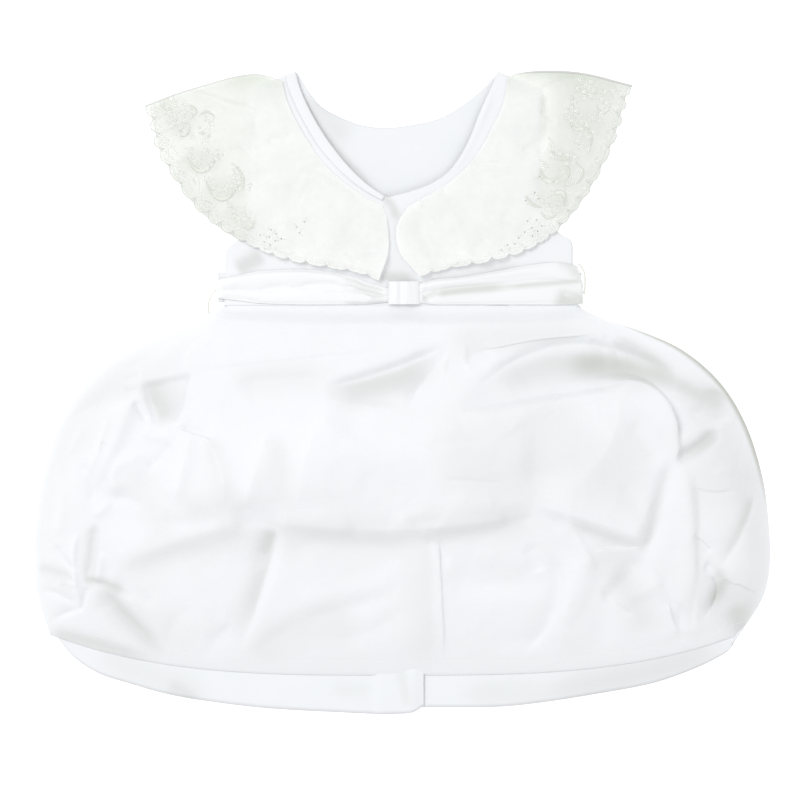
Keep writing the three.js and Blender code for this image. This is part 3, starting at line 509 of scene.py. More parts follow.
# Eyelets of the lace, in cells: a round hole in each of these places, with a ring of stitches
EYELETS = {
    "left": (
        (163, 104), (168, 108), (172, 100), (176, 106), (170, 114), (176, 118), (171, 121), (179, 124),
        (183, 115), (186, 122), (190, 111), (195, 113), (187, 105), (181, 129), (187, 131), (180, 135),
        (173, 127), (204, 118), (209, 121), (214, 123), (208, 128), (202, 131), (207, 136), (206, 142),
        (194, 137), (190, 150), (206, 152), (191, 158), (195, 163), (199, 160), (202, 168), (208, 169),
        (213, 166), (217, 160), (216, 154), (221, 153), (207, 180), (211, 182), (214, 188), (216, 194),
        (221, 191), (227, 190), (233, 187), (236, 183), (236, 178), (240, 184), (241, 190), (238, 173),
        (235, 168), (250, 188), (230, 206), (234, 212), (235, 217), (239, 219), (241, 224), (247, 220),
        (252, 226), (251, 217), (245, 212), (246, 226), (270, 238), (277, 235), (276, 242), (271, 246),
        (261, 236), (282, 240), (266, 250), (272, 231), (265, 243), (297, 228), (305, 223), (300, 234),
    ),
    "right": (
        (579, 81), (590, 83), (585, 86), (577, 90), (583, 93), (588, 89), (593, 91), (575, 97),
        (583, 98), (590, 97), (573, 103), (571, 109), (576, 112), (566, 113), (567, 119), (571, 122),
        (581, 123), (586, 126), (581, 130), (591, 119), (599, 122), (601, 100), (606, 104), (604, 93),
        (612, 92), (600, 115), (605, 111), (580, 135), (577, 142), (580, 148), (587, 150), (588, 138),
        (593, 133), (550, 143), (551, 150), (552, 157), (559, 155), (567, 156), (574, 158), (566, 165),
        (573, 164), (562, 172), (564, 178), (570, 183), (580, 172), (542, 163), (544, 169), (539, 178),
        (549, 184), (556, 182), (534, 194), (538, 200), (525, 202), (551, 195), (557, 194), (562, 190),
        (546, 202), (558, 205), (547, 209), (554, 211), (524, 233), (527, 222), (531, 229), (532, 237),
        (537, 232), (541, 227), (536, 221), (509, 252), (514, 256), (507, 246), (514, 245), (520, 253),
        (501, 251), (521, 246), (518, 239), (450, 268), (457, 264), (458, 270),
    ),
}
EYELET_RADIUS = 0.75
EYELET_POINTS = 10
# How an eyelet is stitched where the collar is free of the bodice, past this distance, and where it isn't
FREE_COLLAR = 104.0
RINGS = {
    "free": {"share": 0.7, "space": 0.34, "lift": 0.12, "thread": 0.34, "leaves": 6},
    "over_bodice": {"share": 0.82, "space": 0.2, "lift": 0.02, "thread": 0.18, "leaves": 2},
}
PICOTS = 170

# Satin-stitched leaves of the lace, in cells: from, by way of, to, and width in millimetres
LEAF_FULL = 1.05
LEAF_STITCH = 0.42
LEAVES = {
    "left": (
        ((161, 100), (165, 108), (174, 111), 2.6),
        ((190, 106), (196, 112), (192, 119), 2.6),
        ((179, 127), (184, 136), (192, 129), 3),
        ((188, 156), (203, 172), (222, 150), 3.2),
        ((205, 178), (222, 200), (242, 182), 3.4),
        ((233, 164), (243, 178), (242, 192), 2.6),
        ((228, 203), (236, 216), (240, 225), 2),
        ((244, 228), (251, 229), (255, 220), 2),
        ((200, 126), (204, 134), (212, 138), 2),
        ((200, 116), (208, 113), (216, 119), 1.8),
    ),
    "right": (
        ((577, 86), (585, 95), (597, 94), 2.4),
        ((574, 97), (571, 105), (576, 112), 2),
        ((569, 124), (577, 131), (588, 124), 3.2),
        ((596, 106), (602, 114), (610, 106), 2.2),
        ((585, 128), (590, 138), (589, 150), 2.4),
        ((551, 150), (560, 160), (575, 156), 2.6),
        ((539, 168), (546, 182), (558, 177), 4),
        ((564, 164), (568, 174), (562, 182), 2.2),
        ((574, 162), (582, 174), (574, 186), 2),
        ((548, 198), (562, 194), (563, 210), 3.2),
        ((526, 196), (531, 205), (542, 208), 2.4),
        ((540, 212), (547, 219), (557, 214), 2.2),
    ),
}
# Openwork slits beside the border, in cells, and the border's inner cord
SLIT_WIDTH = 1.5
SLITS = {
    "left": (((165, 138), (175, 148)), ((181, 172), (191, 178)), ((193, 178), (197, 186)),
             ((205, 201), (215, 206))),
    "right": (((606, 142), (606, 150)), ((602, 155), (593, 162))),
}
INNER_CORDS = {
    "left": ((158, 112), (157, 135), (175, 151), (187, 163), (199, 180), (201, 198), (214, 208), (226, 226),
             (246, 236)),
    "right": ((617, 92), (619, 112), (606, 135), (605, 151), (591, 166), (588, 186), (574, 200), (570, 216),
              (556, 222)),
}

# Folds of the sash, in the columns and cells of the skirt's folds
SASH_FOLDS = (
    ((218, 283), (262, 274), (330, 271), 1, 3, 6, 2),
    ((258, 291), (275, 287), (292, 286), -0.8, 1.8, 2.6, 1.8),
    ((296, 288), (320, 284), (346, 286), -1.1, 2, 3, 1.8),
    ((342, 285), (362, 292), (384, 297), -1.5, 2, 2.6, 1.7),
    ((318, 290), (350, 296), (370, 302), -1.1, 1.6, 2.4, 1.7),
    ((350, 287), (368, 296), (374, 302), 0.9, 1.6, 1.6, 1.7),
    ((336, 275), (364, 284), (388, 290), -1.2, 3, 2.4, 1.8),
    ((354, 280), (374, 287), (388, 293), -1, 1.8, 1.8, 1.7),
    ((220, 296), (245, 300), (264, 303), -0.9, 2, 2, 1.8),
    ((234, 283), (240, 292), (246, 301), -0.6, 2, 3, 2),
    ((424, 282), (470, 274), (556, 264), 1, 3, 6, 2),
    ((438, 292), (500, 288), (576, 281), -3, 3.6, 1.8, 1.7),
    ((422, 297), (438, 292), (466, 290), -2, 2.4, 3, 1.8),
    ((421, 292), (426, 298), (431, 304), -1, 1.2, 1.4, 1.7),
    ((423, 288), (430, 295), (438, 298), -0.9, 1.2, 1.4, 1.7),
    ((421, 300), (430, 300), (440, 303), -0.9, 1.2, 1.4, 1.7),
    ((556, 292), (574, 298), (583, 305), -2.4, 3, 4, 1.8),
    ((554, 261), (569, 268), (574, 282), -1.6, 2, 5, 1.8),
    ((466, 281), (510, 279), (550, 274), -0.7, 2, 3, 2),
    ((398, 280), (400, 292), (399, 308), -1.2, 1.8, 2, 1.8),
    ((410, 280), (413, 292), (411, 308), -0.6, 1.4, 2, 1.8),
)
# Painted shade on the sash, in the same columns
SASH_PAINTED_SHADE = (
    ((548, 303), (576, 302), (604, 303), 0.5, 7, 5, 2),
    ((552, 260), (571, 266), (578, 286), 0.4, 2, 4, 2),
    ((434, 296), (462, 291), (524, 286), 0.5, 3, 3, 2),
    ((500, 288), (544, 284), (590, 281), 0.42, 1.8, 2.2, 2),
    ((420, 303), (428, 296), (440, 292), 0.3, 2, 3, 2),
    ((346, 288), (370, 294), (386, 301), 0.2, 3, 3, 2),
    ((340, 304), (366, 304), (390, 304), 0.3, 2, 2, 2),
    ((340, 277), (366, 286), (388, 292), 0.16, 2, 3, 2),
)
SASH_COLUMNS = ("x", "top", "groove", "foot")
SASH_LEFT = (
    (-137, 83, 76, 70),
    (-120, 87, 76, 68),
    (-104, 90, 76, 66),
    (-75, 91, 78, 65),
    (-53, 89, 79, 65),
    (-38, 86, 77, 65),
    (-24, 81, 73, 65.5),
    (-10.6, 77, 71, 67),
)
SASH_RIGHT = (
    (13.6, 81, 73, 66),
    (28, 84, 74, 65),
    (43, 85, 76, 65),
    (73, 90, 78, 65),
    (102, 95, 81, 65),
    (121, 96, 82, 65),
    (133.6, 94, 81, 66),
)
SASH_RIGHT_SLANT = 4.0
SASH_CLOTH = 1.2
SASH_LIFT = 0.85
SASH_FOLD_RISE = 1.6
SASH_BACK = {"left": -136, "right": 132.6, "foot": 67, "top": 89, "cloth": 1.0}
KNOT = {"left": -10.2, "right": 13.2, "foot": 65, "top": 82, "cloth": 2.0, "rise": 3.0, "groove": 0.42}
KNOT_LIFT = 0.9

# Belt loops: two threads twisted round each of these lines
LOOP_THREAD = 0.48
LOOP_TWIST = 0.4
LOOP_TURNS = 9
LOOP_LEFT = ((-137.9, 76, 2), (-141, 72, 2.2), (-143, 66, 2.2), (-143, 60, 2), (-142.2, 58.6, 2))
LOOP_RIGHT = ((129.8, 96, 2.2), (132.8, 93, 2.4), (134.8, 88, 2.4), (135.2, 80, 2.2), (134.5, 73, 2.2))


# Lines, tables and patches

def smooth(start, end, value):
    t = np.clip((value - start) / (end - start), 0, 1)
    return t * t * (3 - 2 * t)


def mix(a, b, t):
    return a + (b - a) * t


def line(points, samples=240):
    """A smooth line through given points, read from 0 to 1 along its length."""
    knots = np.array(points, float)
    padded = np.vstack([2 * knots[0] - knots[1], knots, 2 * knots[-1] - knots[-2]])
    pieces = []
    for i in range(1, len(padded) - 2):
        p0, p1, p2, p3 = padded[i - 1:i + 3]
        d0, d1, d2 = (max(1e-6, np.linalg.norm(b - a)) ** 0.5 for a, b in ((p0, p1), (p1, p2), (p2, p3)))
        m1 = (p1 - p0) / d0 - (p2 - p0) / (d0 + d1) + (p2 - p1) / d1
        m2 = (p2 - p1) / d1 - (p3 - p1) / (d1 + d2) + (p3 - p2) / d2
        t = np.linspace(0, 1, samples, endpoint=i == len(padded) - 3)[:, None]
        pieces.append((2 * t**3 - 3 * t**2 + 1) * p1 + (t**3 - 2 * t**2 + t) * m1 * d1
                      + (3 * t**2 - 2 * t**3) * p2 + (t**3 - t**2) * m2 * d1)
    track = np.vstack(pieces)
    length = np.concatenate([[0], np.cumsum(np.linalg.norm(np.diff(track, axis=0), axis=1))])
    length /= length[-1]

    def at(t):
        t = np.clip(np.asarray(t, float), 0, 1)
        return np.stack([np.interp(t, length, track[:, i]) for i in range(track.shape[1])], -1)

    return at


def joined(parts):
    """Several lines end to end, each over its share of 0 to 1."""
    total = sum(share for share, _ in parts)

    def at(t):
        t = np.asarray(t, float)
        out = np.zeros(t.shape + (2,))
        start = 0.0
        for share, along in parts:
            share = share / total
            inside = (t >= start - 1e-9) & (t <= start + share + 1e-9)
            out[inside] = along((t[inside] - start) / share)
            start += share
        return out

    return at


def patch(top, bottom, left, right):
    """A patch of cloth between four edges: across from left to right, down from top to bottom."""
    def at(across, down):
        a, d = np.asarray(across, float)[..., None], np.asarray(down, float)[..., None]
        zero, one = np.zeros(1), np.ones(1)
        sides = top(across) * (1 - d) + bottom(across) * d + left(down) * (1 - a) + right(down) * a
        corners = (top(zero)[0] * (1 - a) * (1 - d) + top(one)[0] * a * (1 - d)
                   + bottom(zero)[0] * (1 - a) * d + bottom(one)[0] * a * d)
        return sides - corners

    return at


def rows_at(table, columns, place):
    """Each column of a table at places along its first one, smoothly between the rows given."""
    rows = np.array(table, float)
    key = rows[:, 0]
    index = np.clip(np.searchsorted(key, place, side="left") - 1, 0, len(rows) - 2)
    before, after = np.maximum(index - 1, 0), np.minimum(index + 2, len(rows) - 1)
    span = key[index + 1] - key[index]
    t = np.clip((place - key[index]) / span, 0, 1)
    found = {}
    for i, name in enumerate(columns):
        value = rows[:, i]
        slope_in = span * (value[index + 1] - value[before]) / (key[index + 1] - key[before])
        slope_out = span * (value[after] - value[index]) / (key[after] - key[index])
        found[name] = ((2 * t**3 - 3 * t**2 + 1) * value[index] + (t**3 - 2 * t**2 + t) * slope_in
                       + (3 * t**2 - 2 * t**3) * value[index + 1] + (t**3 - t**2) * slope_out)
    return found


def grid(columns, rows):
    return np.meshgrid(np.linspace(0, 1, columns + 1), np.linspace(0, 1, rows + 1))


def in_mm(cells):
    """Places given in cells, as millimetres from the gown's middle."""
    cells = np.asarray(cells, float)
    return np.stack([(cells[..., 0] - CELL_ORIGIN[0]) * CELL, (CELL_ORIGIN[1] - cells[..., 1]) * CELL], -1)


def folded(folds, x, y):
    """Rise or fall at each point, summed over the folds, and how far each point moves sideways where a
    steep fold tucks its upper side over its lower one."""
    total, shift = np.zeros_like(x), np.zeros(x.shape + (2,))
    for start, via, end, rise, left, right, crisp in folds:
        start, via, end = in_mm((start, via, end))
        bend = 2 * via - (start + end) / 2
        t = np.linspace(0, 1, FOLD_STEPS + 1)[:, None]
        track = (1 - t) ** 2 * start + 2 * t * (1 - t) * bend + t**2 * end
        reach = 2.6 * max(left, right)
        low, high = track.min(0) - reach, track.max(0) + reach
        near = (x > low[0]) & (x < high[0]) & (y > low[1]) & (y < high[1])
        px, py = x[near], y[near]
        best = np.full(px.shape, 1e9)
        place, side, away = np.zeros_like(px), np.zeros_like(px), np.zeros(px.shape + (2,))
        for i in range(FOLD_STEPS):
            run = track[i + 1] - track[i]
            s = np.clip(((px - track[i, 0]) * run[0] + (py - track[i, 1]) * run[1]) / (run @ run), 0, 1)
            ox, oy = px - track[i, 0] - s * run[0], py - track[i, 1] - s * run[1]
            distance = np.hypot(ox, oy)
            closer = distance < best
            best = np.where(closer, distance, best)
            place = np.where(closer, (i + s) / FOLD_STEPS, place)
            side = np.where(closer, run[0] * oy - run[1] * ox, side)
            leftwards = np.array((-run[1], run[0])) / np.linalg.norm(run)
            away[closer] = leftwards
        fade = smooth(0, FOLD_FADE, place) * smooth(1, 1 - FOLD_FADE, place)
        width = np.where(side > 0, left, right) * (0.5 + 0.5 * np.sqrt(fade))
        total[near] += rise * fade * np.exp(-((best / width) ** crisp))
        steep = min(left, right)
        if steep < TUCK_BELOW and max(left, right) > 1.8 * steep:
            sign = 1.0 if left < right else -1.0
            out = best * np.sign(side) * sign
            if rise < 0:
                move = -smooth(0, 1.4 * steep, out) * np.exp(-np.maximum(0, out) / (6 * steep))
            else:
                move = np.where(out > 0, np.exp(-((out / steep) ** 2)), np.exp(out / (6 * steep)))
            shift[near] += away * (TUCK * steep * sign * move * fade * min(1, abs(rise) / 3))[:, None]
    return total, shift


def risen(folds, x, y, most):
    """Rise at each point, summed over the folds and kept between 0 and the most given."""
    return np.clip(folded(folds, x, y)[0], 0, most)


def crumple(x, y, size, seed, ridged=True):
    """Gentle wrinkling from -1 to 1, with crests about one size apart."""
    values = np.empty(x.size)
    for i, (px, py) in enumerate(zip(x.ravel() / size, y.ravel() / size)):
        values[i] = noise.noise(Vector((px, py, seed)))
    values = values.reshape(x.shape)
    return 1 - 2 * np.abs(values) ** 0.8 if ridged else values


# Meshes

def finished(name, mesh, material, nodes):
    """Puts a finished mesh in the scene, in place of its CAD nodes."""
    piece = bpy.data.objects.new(name, mesh)
    bpy.context.scene.collection.objects.link(piece)
    mesh.materials.append(material)
    mesh.shade_smooth()
    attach(piece, "root")
    if nodes:
        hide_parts(*nodes)
    return piece


def apply_modifiers(piece):
    for modifier in list(piece.modifiers):
        with bpy.context.temp_override(object=piece, active_object=piece):
            bpy.ops.object.modifier_apply(modifier=modifier.name)


def shell(name, flat, faces, cloth_map, thickness, material, node, most=None, painted_darkening=None):
    """A thin shell of cloth on points in metres, with its map in metres along the cloth. One with more
    triangles than most is thinned to that number, which leaves them where the cloth bends."""
    a, b, c = (flat[faces[:, i]] for i in range(3))
    if np.cross(b - a, c - a)[:, 2].sum() < 0:
        faces = faces[:, ::-1]
    mesh = bpy.data.meshes.new(name)
    mesh.from_pydata(flat.tolist(), [], faces.tolist())
    layer = mesh.uv_layers.new(name="Cloth")
    corners = np.empty(len(mesh.loops), int)
    mesh.loops.foreach_get("vertex_index", corners)
    layer.data.foreach_set("uv", cloth_map[corners].ravel())
    # painted darkening: shade painted into the colour, and on the collar also its denser lace
    if painted_darkening is not None:
        mesh.attributes.new("PaintedDarkening", "FLOAT", "POINT").data.foreach_set("value", painted_darkening.ravel())
    piece = finished(name, mesh, material, [node] if node else [])
    count = len(faces) * (faces.shape[1] - 2)
    if most and count > most:
        thin = piece.modifiers.new("Thin", "DECIMATE")
        thin.ratio = most / count
    wall = piece.modifiers.new("Wall", "SOLIDIFY")
    wall.thickness = thickness * MM
    wall.offset = -1
    apply_modifiers(piece)
    return piece


def map_of(points):
    """Metres along the cloth at each point of a grid, across and down."""
    rows, columns = points.shape[:2]
    across = np.linalg.norm(np.diff(points, axis=1), axis=2)
    down = np.linalg.norm(np.diff(points, axis=0), axis=2)
    u = np.concatenate([np.zeros((rows, 1)), np.cumsum(across, 1)], 1) * MM
    v = np.concatenate([np.zeros((1, columns)), np.cumsum(down, 0)], 0) * MM
    return np.stack([u - u[:, columns // 2][:, None], v], -1)


def cloth(name, points, thickness, material, node, most=None, painted_darkening=None):
    """A thin shell on a grid of points in millimetres."""
    rows, columns = points.shape[:2]
    index = np.arange(rows * columns).reshape(rows, columns)
    quads = np.stack([index[:-1, :-1], index[1:, :-1], index[1:, 1:], index[:-1, 1:]], -1).reshape(-1, 4)
    return shell(name, points.reshape(-1, 3) * MM, quads, map_of(points).reshape(-1, 2), thickness, material,
                 node, most, painted_darkening)


class Surface:
    """A grid of points, read at any place in its plan."""

    def __init__(self, points):
        self.points = points
        self.columns = points.shape[1]
        self.tree = kdtree.KDTree(points.shape[0] * self.columns)
        for i, (x, y, _) in enumerate(points.reshape(-1, 3)):
            self.tree.insert((x, y, 0), i)
        self.tree.balance()
        self.map = map_of(points)

    def read(self, plan):
        """Points on the surface, their places along the cloth, and whether each is well inside."""
        plan = np.asarray(plan, float).reshape(-1, 2)
        nearest = np.array([self.tree.find((x, y, 0))[1] for x, y in plan])
        rows, columns = self.points.shape[0], self.columns
        i, j = nearest // columns, nearest % columns
        inside = (i > 1) & (i < rows - 2) & (j > 1) & (j < columns - 2)
        i, j = np.clip(i, 1, rows - 2), np.clip(j, 1, columns - 2)
        here = self.points[i, j]
        along_row = (self.points[i, j + 1] - self.points[i, j - 1]) / 2
        along_column = (self.points[i + 1, j] - self.points[i - 1, j]) / 2
        offset = plan - here[:, :2]
        turn = along_row[:, 0] * along_column[:, 1] - along_row[:, 1] * along_column[:, 0]
        a = (offset[:, 0] * along_column[:, 1] - offset[:, 1] * along_column[:, 0]) / turn
        b = (along_row[:, 0] * offset[:, 1] - along_row[:, 1] * offset[:, 0]) / turn
        a, b = np.clip(a, -2, 2)[:, None], np.clip(b, -2, 2)[:, None]
        z = here[:, 2:] + a * along_row[:, 2:] + b * along_column[:, 2:]
        place = (self.map[i, j] + a * (self.map[i, j + 1] - self.map[i, j - 1]) / 2
                 + b * (self.map[i + 1, j] - self.map[i - 1, j]) / 2)
        return np.concatenate([plan, z], 1), place, inside


def pierced(name, surface, holes, lace_and_shade, thickness, material, node):
    """Cloth on a surface with holes through it, each a loop of places in its plan."""
    points = surface.points
    rows, columns = points.shape[:2]
    flat = points.reshape(-1, 3)
    index = np.arange(rows * columns).reshape(rows, columns)
    rim = np.concatenate([index[0], index[1:, -1], index[-1, -2::-1], index[-2:0:-1, 0]])
    free = np.ones(len(flat), bool)
    for loop in holes:
        middle = loop.mean(0)
        size = np.linalg.norm(loop - middle, axis=1).max() + 0.4
        for i in [found[1] for found in surface.tree.find_range((*middle, 0), size)]:
            gap = np.linalg.norm(loop - flat[i, :2], axis=1).min()
            if gap < 0.4 or inside_loop(flat[i, :2], loop):
                free[i] = False
    free[rim] = True
    kept = np.flatnonzero(free)
    number = np.full(len(flat), -1)
    number[kept] = np.arange(len(kept))
    loops, places = [], []
    for loop in holes:
        on, place, _ = surface.read(loop)
        loops.append(on)
        places.append(place)
    every = np.vstack([flat[kept], *loops])
    cloth_map = np.vstack([surface.map.reshape(-1, 2)[kept], *places])
    edges = [(number[a], number[b]) for a, b in zip(rim, np.roll(rim, -1))]
    start = len(kept)
    for loop in holes:
        n = len(loop)
        edges += [(start + i, start + (i + 1) % n) for i in range(n)]
        start += n
    made = geometry.delaunay_2d_cdt([Vector(p) for p in every[:, :2]], edges, [], 1, 1e-6)
    source = np.array([ids[0] if ids else -1 for ids in made[3]])
    faces = np.array([[source[i] for i in face] for face in made[2] if len(face) == 3])
    faces = faces[(faces >= 0).all(1)]
    middles = every[faces][:, :, :2].mean(1)
    tree = kdtree.KDTree(len(holes))
    for i, loop in enumerate(holes):
        tree.insert((*loop.mean(0), 0), i)
    tree.balance()
    open_faces = np.zeros(len(faces), bool)
    for i, middle in enumerate(middles):
        near = tree.find((*middle, 0))
        if near[2] < HOLE_REACH:
            open_faces[i] = inside_loop(middle, holes[near[1]])
    faces = faces[~open_faces]
    painted_darkening = risen(lace_and_shade, every[:, 0], every[:, 1], 0.8)
    return shell(name, every * MM, faces, cloth_map, thickness, material, node, painted_darkening=painted_darkening)


def inside_loop(point, loop):
    """Whether a place is inside a convex loop."""
    run = np.roll(loop, -1, 0) - loop
    away = point - loop
    turn = run[:, 0] * away[:, 1] - run[:, 1] * away[:, 0]
    return bool((turn > 0).all() or (turn < 0).all())


class Relief:
    """Many small closed shapes gathered into one mesh, each set on a surface that is given."""

    def __init__(self):
        self.points, self.faces, self.count = [], [], 0

    def add(self, points, faces):
        self.points.append(points)
        self.faces += [[i + self.count for i in face] for face in faces]
        self.count += len(points)

    def rod(self, track, radius, sides=5, closed=False):
        """A round thread along points, each a row of x, y and z."""
        track = np.asarray(track, float)
        ahead = np.roll(track, -1, 0) if closed else np.vstack([track[1:], track[-1:] * 2 - track[-2:-1]])
        behind = np.roll(track, 1, 0) if closed else np.vstack([track[:1] * 2 - track[1:2], track[:-1]])
        run = ahead - behind
        run /= np.linalg.norm(run, axis=1)[:, None] + 1e-9
        aside = np.cross(run, (0, 0, 1))
        aside /= np.linalg.norm(aside, axis=1)[:, None] + 1e-9
        up = np.cross(aside, run)
        radius = np.broadcast_to(np.asarray(radius, float), (len(track),))[:, None]
        turn = np.linspace(0, 2 * np.pi, sides, endpoint=False)
        rings = [track + radius * (aside * math.cos(a) + up * math.sin(a)) for a in turn]
        points = np.stack(rings, 1).reshape(-1, 3)
        n = len(track)
        faces = []
        for i in range(n if closed else n - 1):
            j = (i + 1) % n
            faces += [[i * sides + k, i * sides + (k + 1) % sides, j * sides + (k + 1) % sides, j * sides + k]
                      for k in range(sides)]
        if not closed:
            faces += [list(range(sides))[::-1], [(n - 1) * sides + k for k in range(sides)]]
        self.add(points, faces)

    def piece(self, name, material, nodes, slot):
        mesh = bpy.data.meshes.new(name)
        mesh.from_pydata((np.vstack(self.points) * MM).tolist(), [], self.faces)
        piece = finished(name, mesh, material, nodes)
        bpy.ops.object.select_all(action="DESELECT")
        piece.select_set(True)
        bpy.context.view_layer.objects.active = piece
        bpy.ops.object.mode_set(mode="EDIT")
        bpy.ops.mesh.select_all(action="SELECT")
        bpy.ops.mesh.normals_make_consistent(inside=False)
        bpy.ops.object.mode_set(mode="OBJECT")
        return piece


def stitches(relief, track, pitch, length, radius, lift=0.0):
    """Straight stitches along a line of points, each a short thread that sinks in at its ends."""
    track = np.asarray(track, float)
    run = np.concatenate([[0], np.cumsum(np.linalg.norm(np.diff(track, axis=0), axis=1))])
    count = int(run[-1] / pitch)
    for i in range(count):
        t = np.linspace(i * pitch, i * pitch + length, 4)
        points = np.stack([np.interp(t, run, track[:, k]) for k in range(3)], -1)
        points[:, 2] += lift + radius * np.array((-0.6, 0.7, 0.7, -0.6))
        relief.rod(points, radius * np.array((0.7, 1, 1, 0.7)), sides=4)


# Surfaces shared by several pieces

def bodice_top(x, y):
    across = np.maximum(0, 1 - (x / WAIST_HALF) ** 2)
    return FRONT_TOP + CHEST_PUFF * across * (1 - 0.6 * smooth(120, 235, y))


def skirt_outer(across, down):
    """Outer face of the skirt's front in millimetres, and the painted shade on it."""
    row = rows_at(SKIRT_SECTIONS, SKIRT_COLUMNS, down)
    edge = np.minimum(across, 1 - across) / ROUND_SHARE
    turn = np.pi / 2 * np.minimum(1, edge)
    inner = row["round"] * (1 - np.cos(turn))
    width = row["right"] - row["left"]
    flat = (width - 2 * row["round"]) * (across - ROUND_SHARE) / (1 - 2 * ROUND_SHARE)
    x = row["left"] + row["round"] + flat
    x = np.where(edge < 1, np.where(across < 0.5, row["left"] + inner, row["right"] - inner), x)
    middle = 1 - np.abs(2 * (x - row["left"]) / width - 1) ** SAG_POWER
    y = mix(row["side_y"], row["mid_y"], middle) + 0.6 * smooth(0.012, 0, down)
    up = np.sin(turn)
    dome = row["side"] * up + row["crown"] * middle * smooth(0.8, 1, up)
    folds, tucks = folded(SKIRT_FOLDS, x, y)
    loose = smooth(0.02, 0.14, down) * smooth(0.45, 1, up)
    loose = loose * (1 - smooth(0.88, 0.99, down))
    wavy = 0.3 * crumple(x, y, 26, SEED) + 0.6 * crumple(x, y, 46, SEED + 8)
    wavy = wavy + 0.12 * crumple(x, y, 11, SEED + 9)
    free = dome + (folds + wavy) * loose
    upper = smooth(0.4, 0.8, up)
    free = np.maximum(mix(LEAST_CLEARANCE, LEAST_AT_HEM, smooth(0.9, 1, down)) * upper, free)
    free = free - HEM_SINK * smooth(SINK_FROM, 1, down) * upper
    sewn = (bodice_top(x, WAIST_Y) - WAIST_SINK) * up
    tucks = tucks * (loose * smooth(0.96, 0.86, down))[..., None]
    # painted shade along the skirt's right edge, which turns away from the key light
    right_edge_shade = smooth(0.58, 0.3, up) * (across > 0.5) * smooth(0.05, 0.2, down)
    painted_darkening = np.maximum(risen(SKIRT_PAINTED_SHADE, x, y, 0.9), right_edge_shade * smooth(0.72, 0.5, down))
    height = np.maximum(mix(sewn, free, smooth(0, 0.07, down)), HEM_LIFT * smooth(0.55, 0.8, down))
    return np.stack([x + tucks[..., 0], y + tucks[..., 1], height], -1), painted_darkening


# Shader maths

class Value:
    """A socket's value, for which Python's operators add Math nodes."""

    def __init__(self, tree, socket):
        self.tree, self.socket = tree, socket

    def maths(self, operation, *values):
        return self.tree.node("ShaderNodeMath", {"operation": operation}, dict(enumerate(values)))

    def __add__(self, other):
        return self.maths("ADD", self, other)

    def __sub__(self, other):
        return self.maths("SUBTRACT", self, other)

    def __mul__(self, other):
        return self.maths("MULTIPLY", self, other)

    def __truediv__(self, other):
        return self.maths("DIVIDE", self, other)

    def sine(self):
        return self.maths("SINE", self)

    def size(self):
        return self.maths("ABSOLUTE", self)

    def limited(self):
        return self.maths("MINIMUM", self.maths("MAXIMUM", self, 0.0), 1.0)


class Finish:
    """A node material with one main shader, and one method that makes its nodes."""

    def __init__(self, name, **sockets):
        self.material = bpy.data.materials.new(name)
        self.material.use_nodes = True
        self.nodes = self.material.node_tree.nodes
        self.links = self.material.node_tree.links
        self.shader = self.nodes["Principled BSDF"]
        for socket, value in sockets.items():
            self.shader.inputs[socket.replace("_", " ")].default_value = value

    def node(self, kind, settings, inputs, output=0):
        made = self.nodes.new(kind)
        for key, value in settings.items():
            setattr(made, key, value)
        for key, value in inputs.items():
            self.put(made.inputs[key], value)
        return Value(self, made.outputs[output])

    def put(self, socket, value):
        if isinstance(value, Value):
            self.links.new(value.socket, socket)
        else:
            socket.default_value = value

    def place(self):
        return self.node("ShaderNodeTexCoord", {}, {}, "Object")

    def along_cloth(self):
        return self.node("ShaderNodeUVMap", {"uv_map": "Cloth"}, {}, "UV")

    def parts(self, vector):
        split = self.nodes.new("ShaderNodeSeparateXYZ")
        self.put(split.inputs[0], vector)
        return [Value(self, split.outputs[i]) for i in range(3)]

    def noise(self, vector, scale, detail=2.0, roughness=0.5):
        return self.node("ShaderNodeTexNoise", {},
                         {"Vector": vector, "Scale": scale, "Detail": detail, "Roughness": roughness}, "Fac")

    def stretched(self, vector, scale):
        return self.node("ShaderNodeMapping", {}, {"Vector": vector, "Scale": scale})

    def blend(self, factor, first, second):
        made = self.nodes.new("ShaderNodeMix")
        made.data_type = "RGBA"
        self.put(made.inputs["Factor"], factor)
        self.put(made.inputs[6], first)
        self.put(made.inputs[7], second)
        return Value(self, made.outputs[2])

    # The painted darkening: painted shade, and on the collar also denser lace
    def depth(self):
        return self.node("ShaderNodeAttribute", {"attribute_name": "PaintedDarkening"}, {}, "Fac")

    def painted_shade_over(self, plain):
        """The colour given, blended to painted shade where the painted darkening is high."""
        return self.blend(self.depth(), plain, PAINTED_SHADE_COLOUR)

    def bump(self, height, distance, strength, under=None):
        inputs = {"Height": height, "Distance": distance, "Strength": strength}
        if under is not None:
            inputs["Normal"] = under
        return self.node("ShaderNodeBump", {}, inputs)

    def set(self, socket, value):
        self.put(self.shader.inputs[socket], value)


def weave_height(finish, cloth_map, pitch):
    """Height of a plain weave, from 0 to 1, for threads one pitch apart."""
    u, v, _ = finish.parts(cloth_map)
    turns = math.pi / pitch
    return (u * turns).sine() * (v * turns).sine() * 0.5 + 0.5


